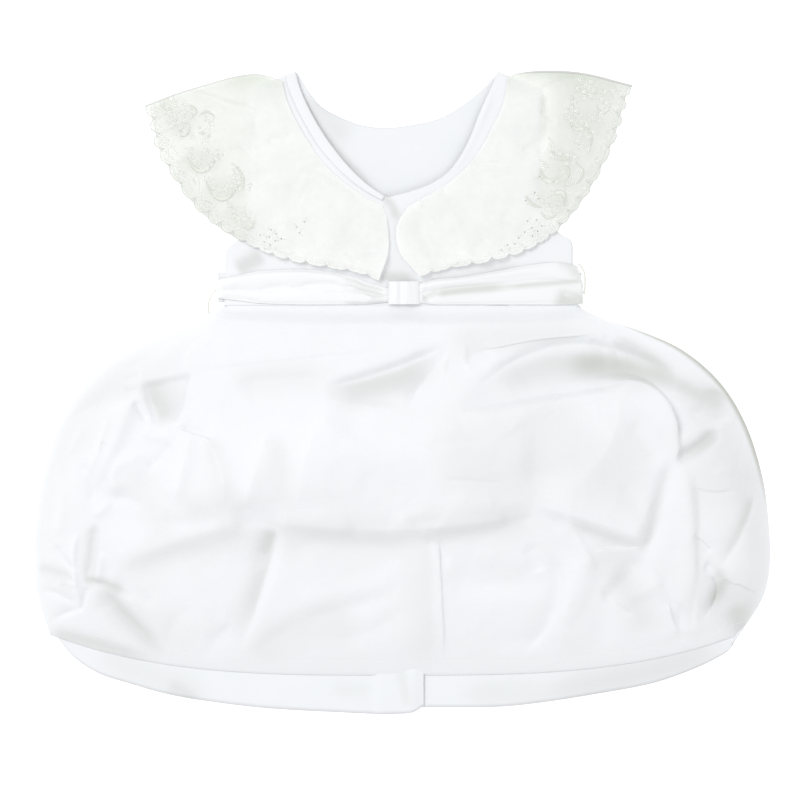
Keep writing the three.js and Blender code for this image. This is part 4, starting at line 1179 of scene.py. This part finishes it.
def cotton_material(name, colour, shade, sheen=0.25, roughness=0.85):
    """Plain-woven cotton: fine threads, a few thicker ones, and faint crumpling."""
    finish = Finish(name, Sheen_Weight=sheen, Sheen_Roughness=0.5, Specular_IOR_Level=0.25)
    cloth_map = finish.along_cloth()
    threads = weave_height(finish, cloth_map, COTTON_PITCH * MM)
    slubs = finish.noise(finish.stretched(cloth_map, (60.0, 1400.0, 1.0)), 1.0, 3.0)
    warp = finish.noise(finish.stretched(cloth_map, (1500.0, 50.0, 1.0)), 1.0, 3.0)
    mottle = finish.noise(finish.place(), 35.0, 3.0)
    crinkle = finish.noise(finish.place(), 140.0, 4.0, 0.6)
    tone = (mottle * 0.5 + slubs * 0.3 + warp * 0.2 - 0.5) * 1.6 + 0.5
    plain = finish.blend(tone.limited(), shade, colour)
    # painted shade in folds and under other parts darkens the cotton's colour
    finish.set("Base Color", finish.painted_shade_over(plain))
    finish.set("Roughness", slubs * 0.1 + (roughness - 0.05))
    soft = finish.bump(crinkle, 0.0009, 0.25)
    finish.set("Normal", finish.bump(threads * 0.6 + slubs * 0.25 + warp * 0.15, 0.00012, 0.35, soft))
    return finish.material


def satin_material(settings):
    """Soft satin of the sash: smoother, with threads that run along it."""
    finish = Finish("Sash satin", Sheen_Weight=0.15, Specular_IOR_Level=0.45)
    cloth_map = finish.along_cloth()
    floats = finish.noise(finish.stretched(cloth_map, (180.0, 2600.0, 1.0)), 1.0, 2.0)
    mottle = finish.noise(finish.place(), 50.0, 3.0)
    colour = tuple(settings.satin_colour)
    shade = tuple(c * 0.965 for c in colour[:3]) + (1.0,)
    plain = finish.blend((mottle * 0.6 + floats * 0.4).limited(), shade, colour)
    # painted shade in its folds and grooves darkens the satin's colour
    finish.set("Base Color", finish.painted_shade_over(plain))
    finish.set("Roughness", floats * 0.12 + 0.46)
    finish.set("Normal", finish.bump(floats, 0.0001, 0.3))
    return finish.material


def organza_material(settings):
    """Sheer organza: a fine open mesh of stiff threads that lets what lies below show through."""
    colour = tuple(settings.organza_colour)
    shade = tuple(c * 0.95 for c in colour[:3]) + (1.0,)
    # Painted light: the organza's emission stands in for light that passes through its sheer threads
    finish = Finish("Collar organza", Specular_IOR_Level=0.4, Roughness=0.55, Emission_Color=colour,
                    Emission_Strength=settings.organza_glow)
    cloth_map = finish.along_cloth()
    threads = weave_height(finish, cloth_map, ORGANZA_PITCH * MM)
    cloudy = finish.noise(finish.place(), 45.0, 3.0)
    # Painted shade: the organza is darker and greener where no cotton lies under it, and more so on the
    # right, away from the key light
    across = finish.parts(finish.place())[0]
    free = ((across.size() - FREE_COLLAR * MM) / 0.012).limited()
    right = ((across - 0.098) / 0.02).limited()
    over = finish.blend(cloudy.limited(), shade, colour)
    over = finish.blend(free * 0.72 + right * 0.28, over, settings.free_shade_colour)
    # denser lace and painted shade darken the organza, and make it less clear
    finish.set("Base Color", finish.blend(finish.depth(), over, LACE_AND_SHADE_COLOUR))
    # the uneven part adds 0.14 on average
    uneven = cloudy * 0.24 + threads * 0.04
    cover = uneven + finish.depth() * 0.4 + (settings.organza_cover - 0.14)
    finish.set("Alpha", cover.limited())
    finish.set("Normal", finish.bump(threads, 0.0001, 0.12))
    return finish.material


def embroidery_material(name, colour, glow):
    """Satin stitch in glossy thread: close ridges across each shape."""
    # Painted light: a glow stands in for light that passes through the thread
    finish = Finish(name, Specular_IOR_Level=0.5, Sheen_Weight=0.2, Emission_Color=colour,
                    Emission_Strength=glow)
    strands = finish.noise(finish.stretched(finish.place(), (2200.0, 900.0, 400.0)), 1.0, 2.0)
    shade = tuple(c * 0.94 for c in colour[:3]) + (1.0,)
    finish.set("Base Color", finish.blend(strands.limited(), shade, colour))
    finish.set("Roughness", strands * 0.2 + 0.4)
    finish.set("Normal", finish.bump(strands, 0.00015, 0.5))
    return finish.material


def colour_property(name, description, default):
    return bpy.props.FloatVectorProperty(name=name, description=description, subtype="COLOR", size=4,
                                         default=(*default, 1.0), min=0, max=1)


class GownCloth(bpy.types.PropertyGroup):
    """Colours and thicknesses of the cloth."""

    cotton_colour: colour_property("Cotton", "Colour of the bodice and skirt", (0.885, 0.893, 0.926))
    inside_colour: colour_property("Inside", "Colour of the cotton's inner face", (0.875, 0.886, 0.92))
    satin_colour: colour_property("Sash", "Colour of the sash", (0.91, 0.92, 0.93))
    organza_colour: colour_property("Organza", "Colour of the sheer collar", (0.975, 0.985, 0.97))
    # Painted shade: the collar's colour where it has no cotton under it
    free_shade_colour: colour_property(
        "Free organza", "Colour of the collar where it has no cotton under it", (0.835, 0.85, 0.822))
    organza_glow: bpy.props.FloatProperty(
        name="Organza glow", description="Stands in for the light that goes through the sheer threads",
        default=0.07, min=0, max=1)
    thread_colour: colour_property("Thread", "Colour of the embroidery and stitching", (0.95, 0.955, 0.93))
    leaf_colour: colour_property("Leaves", "Colour of the leaves stitched on the lace", (0.82, 0.845, 0.785))
    # The cords are darker than the thread, as painted shade along the collar's edge and its fold
    edge_shade_colour: colour_property("Lace edge", "Colour of the cords round the collar", (0.7, 0.705, 0.69))
    organza_cover: bpy.props.FloatProperty(
        name="Organza cover", description="Share of the light that the organza stops",
        default=0.56, min=0.1, max=1, subtype="FACTOR")
    cotton_thickness: bpy.props.FloatProperty(
        name="Cotton thickness", description="Thickness of the cotton", default=0.8 * MM,
        min=0.1 * MM, max=2 * MM, unit="LENGTH")
    organza_thickness: bpy.props.FloatProperty(
        name="Organza thickness", description="Thickness of the organza", default=0.25 * MM,
        min=0.05 * MM, max=1 * MM, unit="LENGTH")


class GownLight(bpy.types.PropertyGroup):
    """Studio light and camera."""

    key: bpy.props.FloatProperty(
        name="Key light", description="Power of the soft light from the upper left", default=46.5,
        min=0, max=200, unit="POWER")
    fill: bpy.props.FloatProperty(
        name="Fill light", description="Power of the light from the right", default=14.0,
        min=0, max=200, unit="POWER")
    sky: bpy.props.FloatProperty(
        name="Surround", description="Strength of the even white surround", default=0.7, min=0, max=5)
    floor_glow: bpy.props.FloatProperty(
        name="Floor glow", description="Light that the floor gives off, which hides its shadows",
        default=0.5, min=0, max=5)
    lens: bpy.props.FloatProperty(
        name="Lens", description="Focal length in millimetres", default=85.0, min=20, max=300)
    frame_width: bpy.props.FloatProperty(
        name="Frame width", description="Width of the floor that the camera takes in", default=0.592,
        min=0.1, max=3, unit="LENGTH")
    centre: bpy.props.FloatVectorProperty(
        name="Centre", description="Point of the floor in the middle of the frame", size=2,
        default=(-0.0015, -0.0052), subtype="TRANSLATION")


class GOWN_OT_stage(bpy.types.Operator):
    """Lays the white floor and sets the studio light and the camera straight above"""

    bl_idname = "gown.stage"
    bl_label = "Stage"

    def execute(self, context):
        light = context.scene.gown_light
        bpy.ops.mesh.primitive_plane_add(size=8.0, location=(0, 0, -0.0004))
        floor = context.active_object
        floor.name = "floor"
        finish = Finish("White floor", Roughness=0.9, Specular_IOR_Level=0.1)
        grain = finish.noise(finish.place(), 9.0, 2.0)
        finish.set("Base Color", finish.blend(grain, (0.88, 0.88, 0.88, 1), (0.9, 0.9, 0.9, 1)))
        finish.shader.inputs["Emission Color"].default_value = (1, 1, 1, 1)
        finish.shader.inputs["Emission Strength"].default_value = light.floor_glow
        floor.data.materials.append(finish.material)

        for name, place, size, power in (
            ("Key", (-1.55, 1.15, 2.95), 1.7, light.key),
            ("Fill", (2.2, -1.4, 2.6), 2.0, light.fill),
        ):
            lamp = bpy.data.lights.new(name, "AREA")
            lamp.size = size
            lamp.energy = power
            holder = bpy.data.objects.new(name, lamp)
            holder.location = place
            holder.rotation_euler = (Vector((0, 0, 0)) - Vector(place)).to_track_quat("-Z", "Y").to_euler()
            context.scene.collection.objects.link(holder)

        world = bpy.data.worlds.new("Surround")
        world.use_nodes = True
        world.node_tree.nodes["Background"].inputs["Color"].default_value = (1, 1, 1, 1)
        world.node_tree.nodes["Background"].inputs["Strength"].default_value = light.sky
        context.scene.world = world
        context.scene.view_settings.view_transform = "Standard"

        camera = bpy.data.cameras.new("Camera")
        camera.lens = light.lens
        camera.sensor_width = 36.0
        camera.clip_start = 0.01
        seat = bpy.data.objects.new("Camera", camera)
        height = light.frame_width * light.lens / camera.sensor_width
        seat.location = (light.centre[0], light.centre[1], height)
        context.scene.collection.objects.link(seat)
        context.scene.camera = seat
        return {"FINISHED"}


class GOWN_OT_finishes(bpy.types.Operator):
    """Makes the finishes of cotton, satin, organza and thread"""

    bl_idname = "gown.finishes"
    bl_label = "Finishes"

    def execute(self, context):
        look = context.scene.gown_cloth
        for name, colour in (("Cotton", look.cotton_colour), ("Cotton inside", look.inside_colour)):
            shade = tuple(c * k for c, k in zip(colour, (0.96, 0.975, 0.955, 1.0)))
            cotton_material(name, tuple(colour), shade)
        satin_material(look)
        organza_material(look)
        embroidery_material("Lace embroidery", tuple(look.thread_colour), look.organza_glow)
        embroidery_material("Lace leaves", tuple(look.leaf_colour), look.organza_glow)
        embroidery_material("Lace edge", tuple(look.edge_shade_colour), 0.0)
        return {"FINISHED"}


class GOWN_OT_skirt(bpy.types.Operator):
    """Builds the front and both halves of the back of the skirt"""

    bl_idname = "gown.skirt"
    bl_label = "Skirt"

    def execute(self, context):
        look = context.scene.gown_cloth
        cotton = bpy.data.materials["Cotton"]
        inside = bpy.data.materials["Cotton inside"]
        points, painted_darkening = skirt_outer(*grid(*SKIRT_GRID))
        front = cloth("skirt_front_cloth", points, look.cotton_thickness / MM, cotton, "skirt_front",
                      most=SKIRT_TRIANGLES, painted_darkening=painted_darkening)
        row = Relief()
        across = np.linspace(0.03, 0.97, 900)
        track = skirt_outer(across, np.full_like(across, HEM_STITCHES))[0]
        stitches(row, track, pitch=2.4, length=1.7, radius=0.11)
        row.piece("skirt_front_stitches", bpy.data.materials["Lace embroidery"], [], "thread")

        halves = {"left": (BACK_HEM_LEFT, OVERLAP_X), "right": (BACK_HEM_RIGHT, OVERLAP_X - OVERLAP)}
        for side, (hem, middle) in halves.items():
            outline = [*skirt_side(side)[:-1], hem[0]]
            shape = patch(
                left=line(outline),
                right=line([(middle, WAIST_Y), hem[-1]]),
                top=line([outline[0], (middle, WAIST_Y)]),
                bottom=line(hem),
            )
            across, down = grid(110, 90)
            plan = shape(1 - (1 - across) ** 1.4, down)
            x, y = plan[..., 0], plan[..., 1]
            wave = 1 + crumple(x, y, 45, SEED + 2, ridged=False)
            height = BACK_LIFT + BACK_WAVE * wave * smooth(-208, -222, y)
            clear = 1 - smooth(-140, -166, y) * smooth(-230, -214, y)
            height = height + risen(BACK_FOLDS, x, y, 1) * clear
            if side == "left":
                start = OVERLAP_X - OVERLAP - OVERLAP_RISE
                over = smooth(start - 6, start, x) * (COTTON + SEAM)
                curl = CURL_RISE * np.exp(-(((x - CURL_X) / CURL_WIDTH) ** 2)) * smooth(-190, -212, y)
                height = height + over + curl
            points = np.stack([x, y, height], -1)
            half = cloth(f"skirt_back_{side}_cloth", points, THIN_CLOTH, inside, f"skirt_back_{side}",
                         painted_darkening=risen(BACK_PAINTED_SHADE, x, y, 0.5))
        return {"FINISHED"}


def skirt_side(side):
    """Outline of the skirt's side, moved in so that the back lies inside the front's turned edge."""
    sign = 1 if side == "left" else -1
    column = 1 if side == "left" else 2
    points = [np.array((row[column], row[3]), float) for row in SKIRT_SECTIONS]
    moved = []
    for i, point in enumerate(points):
        run = points[min(len(points) - 1, i + 1)] - points[max(0, i - 1)]
        moved.append(point + sign * BACK_INSET * np.array((-run[1], run[0])) / np.linalg.norm(run))
    slope = points[1] - points[0]
    moved[0] = np.array((points[0][0] + sign * BACK_INSET * np.linalg.norm(slope) / -slope[1], WAIST_Y))
    return moved


def bodice_plan(neck_parts, columns, rows):
    """A grid of places on a bodice panel whose neck is the lines given, each with its share of the grid."""
    left_shoulder = line([ARMHOLE_LEFT[0], NECK_LEFT])
    right_shoulder = line([NECK_RIGHT, ARMHOLE_RIGHT[0]])
    shape = patch(
        left=line(ARMHOLE_LEFT),
        right=line(ARMHOLE_RIGHT),
        top=joined([(2, left_shoulder), *neck_parts, (2, right_shoulder)]),
        bottom=line([ARMHOLE_LEFT[-1], ARMHOLE_RIGHT[-1]]),
    )
    across, down = grid(columns, rows)
    plan = shape(across, down)
    return across, down, plan[..., 0], plan[..., 1]


class GOWN_OT_bodice(bpy.types.Operator):
    """Builds the front and back of the bodice and the binding of its neck"""

    bl_idname = "gown.bodice"
    bl_label = "Bodice"

    def execute(self, context):
        look = context.scene.gown_cloth
        cotton = bpy.data.materials["Cotton"]
        inside = bpy.data.materials["Cotton inside"]
        neck = [(8, line(FRONT_NECK_LEFT)), (8, line(FRONT_NECK_RIGHT))]
        across, down, x, y = bodice_plan(neck, 160, 110)
        loose = smooth(0, 0.06, across) * smooth(1, 0.94, across) * smooth(0, 0.06, down)
        folds = np.maximum(-0.3, folded(BODICE_FOLDS, x, y)[0])
        height = bodice_top(x, y) + (0.25 * crumple(x, y, 30, SEED + 3) - 0.15) * loose + folds * loose
        front = cloth("bodice_front_cloth", np.stack([x, y, height], -1), look.cotton_thickness / MM, cotton,
                      "bodice_front", painted_darkening=risen(BODICE_PAINTED_SHADE, x, y, 0.6))

        _, _, x, y = bodice_plan([(12, line(BACK_NECK))], 110, 80)
        height = BACK_REST + COTTON + 0.1 * crumple(x, y, 40, SEED + 4, ridged=False)
        back = cloth("bodice_back_cloth", np.stack([x, y, height], -1), look.cotton_thickness / MM, inside,
                     "bodice_back", painted_darkening=risen(NECK_PAINTED_SHADE, x, y, 0.6))

        along, out = grid(120, 10)
        table = np.array(BINDING, float)
        centre = line(table[:, 1:3])
        width = rows_at(BINDING, BINDING_COLUMNS, along * (len(BINDING) - 1))["width"]
        run = centre(along + 0.005) - centre(along - 0.005)
        run /= np.linalg.norm(run, axis=-1)[..., None]
        plan = centre(along) + np.stack([run[..., 1], -run[..., 0]], -1) * (width * out)[..., None]
        x, y = plan[..., 0], plan[..., 1]
        roll = BINDING_ROLL * np.sin(np.pi * np.clip(out, 0, 1)) ** 0.6
        height = bodice_top(x, y) + SEAM + BINDING_LIFT + roll
        binding = cloth("neck_binding_cloth", np.stack([x, y, height], -1), THIN_CLOTH, cotton,
                        "neck_binding")
        return {"FINISHED"}


def under_collar(x, y, armhole):
    """Height that a collar lies on."""
    sash = (SASH_CLOTH + SASH_FOLD_RISE + SEAM) * smooth(SASH_TOP_Y + 8, SASH_TOP_Y, y)
    past = smooth(armhole, armhole + 50, np.abs(x))
    return bodice_top(x, y) + sash * smooth(WAIST_HALF + 12, WAIST_HALF, np.abs(x)) - 1.5 * past


def collar_surface(side):
    """The collar's upper face as a function of the place along it and out from its seam."""
    shape = COLLARS[side]
    plain, neck = line(shape["edge"]), line(shape["neck"])

    def scalloped(t):
        run = plain(t + 0.01) - plain(t - 0.01)
        run /= np.linalg.norm(run, axis=-1)[..., None]
        inwards = np.stack([-run[..., 1], run[..., 0]], -1)
        away = ((plain(t) - neck(t)) * inwards).sum(-1)
        inwards = np.where(away[..., None] > 0, -inwards, inwards)
        turn = np.pi * (SCALLOPS * t + SCALLOP_DRIFT * np.sin(11 * t))
        arch = np.abs(np.sin(turn)) ** 0.7
        small = np.abs(np.sin(SMALL_SCALLOPS * turn)) ** 0.7
        ends = smooth(0, 0.03, t) * smooth(1, 0.97, t)
        big = SCALLOP_DEPTH * mix(1, SCALLOP_ON_BODICE, smooth(0.48, 0.6, t)) * (1 + 0.3 * np.sin(19 * t))
        depth = big * (1 - arch) + SMALL_DEPTH * (1 - small)
        return plain(t) + inwards * (depth * ends)[..., None]

    plan_at = patch(top=neck, bottom=scalloped, left=line(shape["fold"]), right=line(shape["front"]))

    def at(along, out):
        plan = plan_at(along, out)
        flutes = (COLLAR_WAVE_RISE * np.abs(out) ** 1.5 * (1 - 0.6 * along)
                  * (0.5 - 0.5 * np.cos(2 * np.pi * COLLAR_WAVES * along)))
        height = under_collar(plan[..., 0], plan[..., 1], shape["armhole"]) + COLLAR_LIFT + flutes + ORGANZA
        return np.concatenate([plan, height[..., None]], -1)

    return at


def slit_loop(start, end):
    """A narrow oval round the line from start to end."""
    run = end - start
    aside = np.array((-run[1], run[0])) / np.linalg.norm(run)
    t = np.linspace(0, 1, 6)
    bulge = SLIT_WIDTH / 2 * np.sin(np.pi * (0.08 + 0.84 * t)) ** 0.6
    one = start + t[:, None] * run + bulge[:, None] * aside
    other = start + t[::-1, None] * run - bulge[::-1, None] * aside
    return np.vstack([one, other])


def ring_at(x):
    """How an eyelet is stitched at a distance from the gown's middle."""
    return RINGS["free" if abs(x) > FREE_COLLAR else "over_bodice"]


def embroidered(side, surface, surface_at, eyelets, slits):
    """Rings, leaves, cords and picots of the lace, lying on the organza."""
    lace, leaves, edging = Relief(), Relief(), Relief()
    random = np.random.default_rng(SEED + (side == "left"))
    for loop in eyelets:
        middle = loop.mean(0)
        spread = loop - middle
        ring = ring_at(loop[0, 0])
        on = surface.read(middle + spread * (1 + ring["space"] / np.linalg.norm(spread[0])))[0]
        on[:, 2] += ring["lift"]
        lace.rod(on, ring["thread"], sides=5, closed=True)
        for _ in range(ring["leaves"]):
            angle = random.uniform(0, 2 * math.pi)
            start = middle + 1.4 * np.array((math.cos(angle), math.sin(angle)))
            swing = angle + random.uniform(-0.9, 0.9)
            reach = random.uniform(0.6, 1.3)
            leaf = start + np.outer((0, reach, 2 * reach), (math.cos(swing), math.sin(swing)))
            on, _, inside = surface.read(leaf)
            if inside.all():
                on[:, 2] += (-0.05, 0.08, -0.05)
                leaves.rod(on, (0.1, 0.34, 0.1), sides=4)
    for start, via, end, width in LEAVES[side]:
        start, via, end = in_mm((start, via, end))
        bend = 2 * via - (start + end) / 2
        steps = int((np.linalg.norm(via - start) + np.linalg.norm(end - via)) / LEAF_STITCH)
        for t in np.linspace(0.03, 0.97, steps):
            middle = (1 - t) ** 2 * start + 2 * t * (1 - t) * bend + t**2 * end
            run = (1 - t) * (bend - start) + t * (end - bend)
            aside = np.array((-run[1], run[0])) / np.linalg.norm(run)
            half = LEAF_FULL * width / 2 * math.sin(math.pi * t) ** 0.5
            on, _, inside = surface.read(middle + np.outer((-half, -half / 3, half / 3, half), aside))
            if inside.all():
                on[:, 2] += (-0.04, 0.1, 0.1, -0.04)
                leaves.rod(on, (0.12, 0.2, 0.2, 0.12), sides=4)
    for loop in slits:
        middle = loop.mean(0)
        wider = 1 + 0.5 / np.linalg.norm(loop - middle, axis=1)
        on = surface.read(middle + (loop - middle) * wider[:, None])[0]
        lace.rod(on, 0.22, sides=4, closed=True)
    inner = line(in_mm(INNER_CORDS[side]))(np.linspace(0, 1, 130))
    on, _, inside = surface.read(inner)
    if inside.sum() > 8:
        leaves.rod(on[inside], 0.3, sides=5)
    along = np.linspace(0.004, 0.996, 700)
    edge = surface_at(along, np.full_like(along, 0.997))
    edge[:, 2] = surface.read(edge[:, :2])[0][:, 2] - 0.05
    edging.rod(edge, 0.26 + 0.06 * np.sin(along * 1500), sides=5)
    # along the fold a dark cord, painted shade of the fold
    out = np.linspace(0.02, 0.995, 160)
    fold = surface_at(np.full_like(out, 0.003), out)
    fold[:, 2] = surface.read(fold[:, :2])[0][:, 2] - 0.1
    edging.rod(fold, FOLD_SHADE_CORD[side] * smooth(0, 0.3, out) + 0.1, sides=6)
    for t in np.linspace(0.01, 0.99, PICOTS):
        root = surface_at(np.array([t]), np.array([0.975]))[0]
        tip = surface_at(np.array([t + random.uniform(-0.002, 0.002)]), np.array([0.93]))[0]
        on, _, inside = surface.read(np.linspace(root[:2], tip[:2], 3))
        if inside.all():
            on[:, 2] += (0, 0.1, 0)
            lace.rod(on, (0.14, 0.24, 0.12), sides=4)
    return lace, leaves, edging


class GOWN_OT_collar(bpy.types.Operator):
    """Builds the flounce collar of organza, in front and behind the shoulders"""

    bl_idname = "gown.collar"
    bl_label = "Collar"

    def execute(self, context):
        look = context.scene.gown_cloth
        organza = bpy.data.materials["Collar organza"]
        thread = bpy.data.materials["Lace embroidery"]
        for side in COLLARS:
            surface_at = collar_surface(side)
            across, down = grid(*COLLAR_GRID)
            points = surface_at(across, down)
            x, y = points[..., 0], points[..., 1]
            folds, _ = folded(COLLAR_FOLDS[side], x, y)
            gathers = np.sin(2 * np.pi * GATHERS * across + 4 * np.sin(9 * across))
            gathers = GATHER_RISE * np.exp(-down * 12) * gathers * crumple(x, y, 11, SEED + 5, ridged=False)
            rest = under_collar(x, y, COLLARS[side]["armhole"]) + COLLAR_CLOTH
            lifted = points[..., 2] + COLLAR_EASE * smooth(0, 0.2, down) + folds * smooth(0, 0.04, down)
            lifted = lifted + gathers + 0.3 * crumple(x, y, 24, SEED + 6) * smooth(0, 0.2, down)
            points[..., 2] = rest + np.logaddexp(0, (lifted - rest) * 4) / 4
            surface = Surface(points)
            turn = np.linspace(0, 2 * np.pi, EYELET_POINTS, endpoint=False)
            circle = EYELET_RADIUS * np.stack([np.cos(turn), np.sin(turn)], -1)
            eyelets = [place + circle * ring_at(place[0])["share"] for place in in_mm(EYELETS[side])]
            slits = [slit_loop(*in_mm(ends)) for ends in SLITS[side]]
            eyelets, slits = ([loop for loop in loops if surface.read(loop)[2].all()]
                              for loops in (eyelets, slits))
            front = pierced(f"collar_front_{side}_cloth", surface, eyelets + slits, COLLAR_LACE_AND_SHADE[side],
                            look.organza_thickness / MM, organza, f"collar_front_{side}")
            rings, leaves, edging = embroidered(side, surface, surface_at, eyelets, slits)
            rings = rings.piece(f"collar_rings_{side}", thread, [], "thread")
            leaves = leaves.piece(f"collar_leaves_{side}", bpy.data.materials["Lace leaves"], [], "thread")
            edging = edging.piece(f"collar_edging_{side}", bpy.data.materials["Lace edge"], [], "thread")
        for side, shape in COLLARS.items():
            neck, edge, fold, seam = (
                line(np.array(shape[key], float) * BACK_COLLAR["size"] + (0, BACK_COLLAR["up"]))
                for key in ("neck", "edge", "fold", "front"))
            across, down = grid(90, 30)
            plan = patch(top=neck, bottom=edge, left=fold, right=seam)(across * BACK_COLLAR["share"], down)
            points = np.concatenate([plan, np.full(plan.shape[:2] + (1,), BACK_COLLAR["height"])], -1)
            back = cloth(f"collar_back_{side}_cloth", points, look.organza_thickness / MM, organza,
                         f"collar_back_{side}")
        return {"FINISHED"}


def sash_surface(table, inner, outer, slant):
    """The sash wing's underside as a function of the place across and down it."""
    start = math.copysign(WAIST_HALF + 2 * SEAM, outer)

    def at(across, down):
        out = (across if outer > 0 else 1 - across) * 16
        place = np.where(out > 15, mix(start, outer, out - 15), mix(inner, start, out / 15))
        row = rows_at(table, SASH_COLUMNS, place)
        x = place - slant * np.maximum(0, 1 - 2 * down) * smooth(0, outer, place)
        y = np.where(down < 0.5, mix(row["top"], row["groove"], down * 2),
                     mix(row["groove"], row["foot"], down * 2 - 1))
        past = smooth(abs(start), abs(outer), np.abs(place))
        return np.stack([x, y, mix(bodice_top(x, y) + SEAM, SASH_BACK["cloth"] + SEAM, past)], -1)

    return at


class GOWN_OT_sash(bpy.types.Operator):
    """Builds the sash: two wings, the loop that gathers them and the band behind"""

    bl_idname = "gown.sash"
    bl_label = "Sash"

    def execute(self, context):
        satin = bpy.data.materials["Sash satin"]
        wings = {
            "left": (SASH_LEFT, SASH_LEFT[-1][0], SASH_LEFT[0][0], 0.0),
            "right": (SASH_RIGHT, SASH_RIGHT[0][0], SASH_RIGHT[-1][0], SASH_RIGHT_SLANT),
        }
        for side, (table, inner, outer, slant) in wings.items():
            surface = sash_surface(table, inner * 0.88, outer, slant)
            across, down = grid(140, 60)
            points = surface(across, down)
            fold = np.abs(np.sin(2 * np.pi * down)) ** 0.8
            gather = smooth(60, 14, np.abs(points[..., 0] - 1.5))
            ripple = 0.16 * gather * np.sin(2 * np.pi * (5 * down + 0.7 * np.sin(3 * across)))
            folds = folded(SASH_FOLDS, points[..., 0], points[..., 1])[0]
            rim = smooth(0, 0.1, down) * smooth(1, 0.9, down)
            rim = rim * smooth(0, 0.02, across) * smooth(1, 0.98, across)
            raised = 0.4 + SASH_FOLD_RISE * fold + ripple * fold + folds
            points[..., 2] += SASH_LIFT + np.maximum(0, raised) * rim
            painted_darkening = risen(SASH_PAINTED_SHADE, points[..., 0], points[..., 1], 0.8)
            wing = cloth(f"sash_{side}_cloth", points, THIN_CLOTH, satin, f"sash_{side}", painted_darkening=painted_darkening)

        across, down = grid(50, 40)
        x = mix(KNOT["left"], KNOT["right"], across)
        y = mix(KNOT["top"], KNOT["foot"], down)
        rounded = np.sin(np.pi * across) ** 0.5
        groove = 1 - 0.35 * np.exp(-(((across - KNOT["groove"]) / 0.09) ** 2))
        ends = 1 - 0.2 * np.abs(2 * down - 1) ** 3
        full = (KNOT["cloth"] - KNOT_LIFT + KNOT["rise"]) * rounded * groove * ends
        height = bodice_top(x, y) + SEAM + KNOT_LIFT + full + folded(SASH_FOLDS, x, y)[0] * rounded * 0.6
        knot = cloth("sash_knot_cloth", np.stack([x, y, height], -1), THIN_CLOTH, satin, "sash_knot")

        across, down = grid(60, 10)
        x = mix(SASH_BACK["left"], SASH_BACK["right"], across)
        y = mix(SASH_BACK["top"], SASH_BACK["foot"], down)
        points = np.stack([x, y, np.full_like(x, SASH_BACK["cloth"])], -1)
        band = cloth("sash_back_cloth", points, 0.8, satin, "sash_back")
        return {"FINISHED"}


class GOWN_OT_loops(bpy.types.Operator):
    """Builds the thread loops that carry the sash"""

    bl_idname = "gown.loops"
    bl_label = "Belt loops"

    def execute(self, context):
        thread = bpy.data.materials["Lace leaves"]
        for side, points in (("left", LOOP_LEFT), ("right", LOOP_RIGHT)):
            track = line(points)(np.linspace(0, 1, 40))
            relief = Relief()
            turn = np.linspace(0, 2 * np.pi * LOOP_TURNS, 40)
            for phase in (0, math.pi):
                twist = np.stack([np.cos(turn + phase), 0 * turn, np.sin(turn + phase)], -1)
                relief.rod(track + LOOP_TWIST * twist, LOOP_THREAD, sides=6)
            relief.piece(f"belt_loop_{side}_thread", thread, [f"belt_loop_{side}"], "thread")
        return {"FINISHED"}


class GOWN_PT_panel(bpy.types.Panel):
    """Lists the steps that build the gown"""

    bl_label = "Christening gown"
    bl_idname = "GOWN_PT_panel"
    bl_space_type = "VIEW_3D"
    bl_region_type = "UI"
    bl_category = "Gown"

    def draw(self, context):
        for operator in STEPS:
            self.layout.operator(operator.bl_idname)
        for group in (context.scene.gown_cloth, context.scene.gown_light):
            box = self.layout.box()
            for name in group.bl_rna.properties.keys():
                if name not in ("rna_type", "name"):
                    box.prop(group, name)


STEPS = (GOWN_OT_stage, GOWN_OT_finishes, GOWN_OT_skirt, GOWN_OT_bodice, GOWN_OT_collar, GOWN_OT_sash,
         GOWN_OT_loops)
CLASSES = (GownCloth, GownLight, *STEPS, GOWN_PT_panel)


def register():
    for item in CLASSES:
        bpy.utils.register_class(item)
    bpy.types.Scene.gown_cloth = bpy.props.PointerProperty(type=GownCloth)
    bpy.types.Scene.gown_light = bpy.props.PointerProperty(type=GownLight)


def unregister():
    del bpy.types.Scene.gown_light
    del bpy.types.Scene.gown_cloth
    for item in reversed(CLASSES):
        bpy.utils.unregister_class(item)


def main():
    register()
    bpy.ops.object.select_all(action="DESELECT")
    for step in STEPS:
        group, name = step.bl_idname.split(".")
        getattr(getattr(bpy.ops, group), name)()


if __name__ == "__main__":
    main()
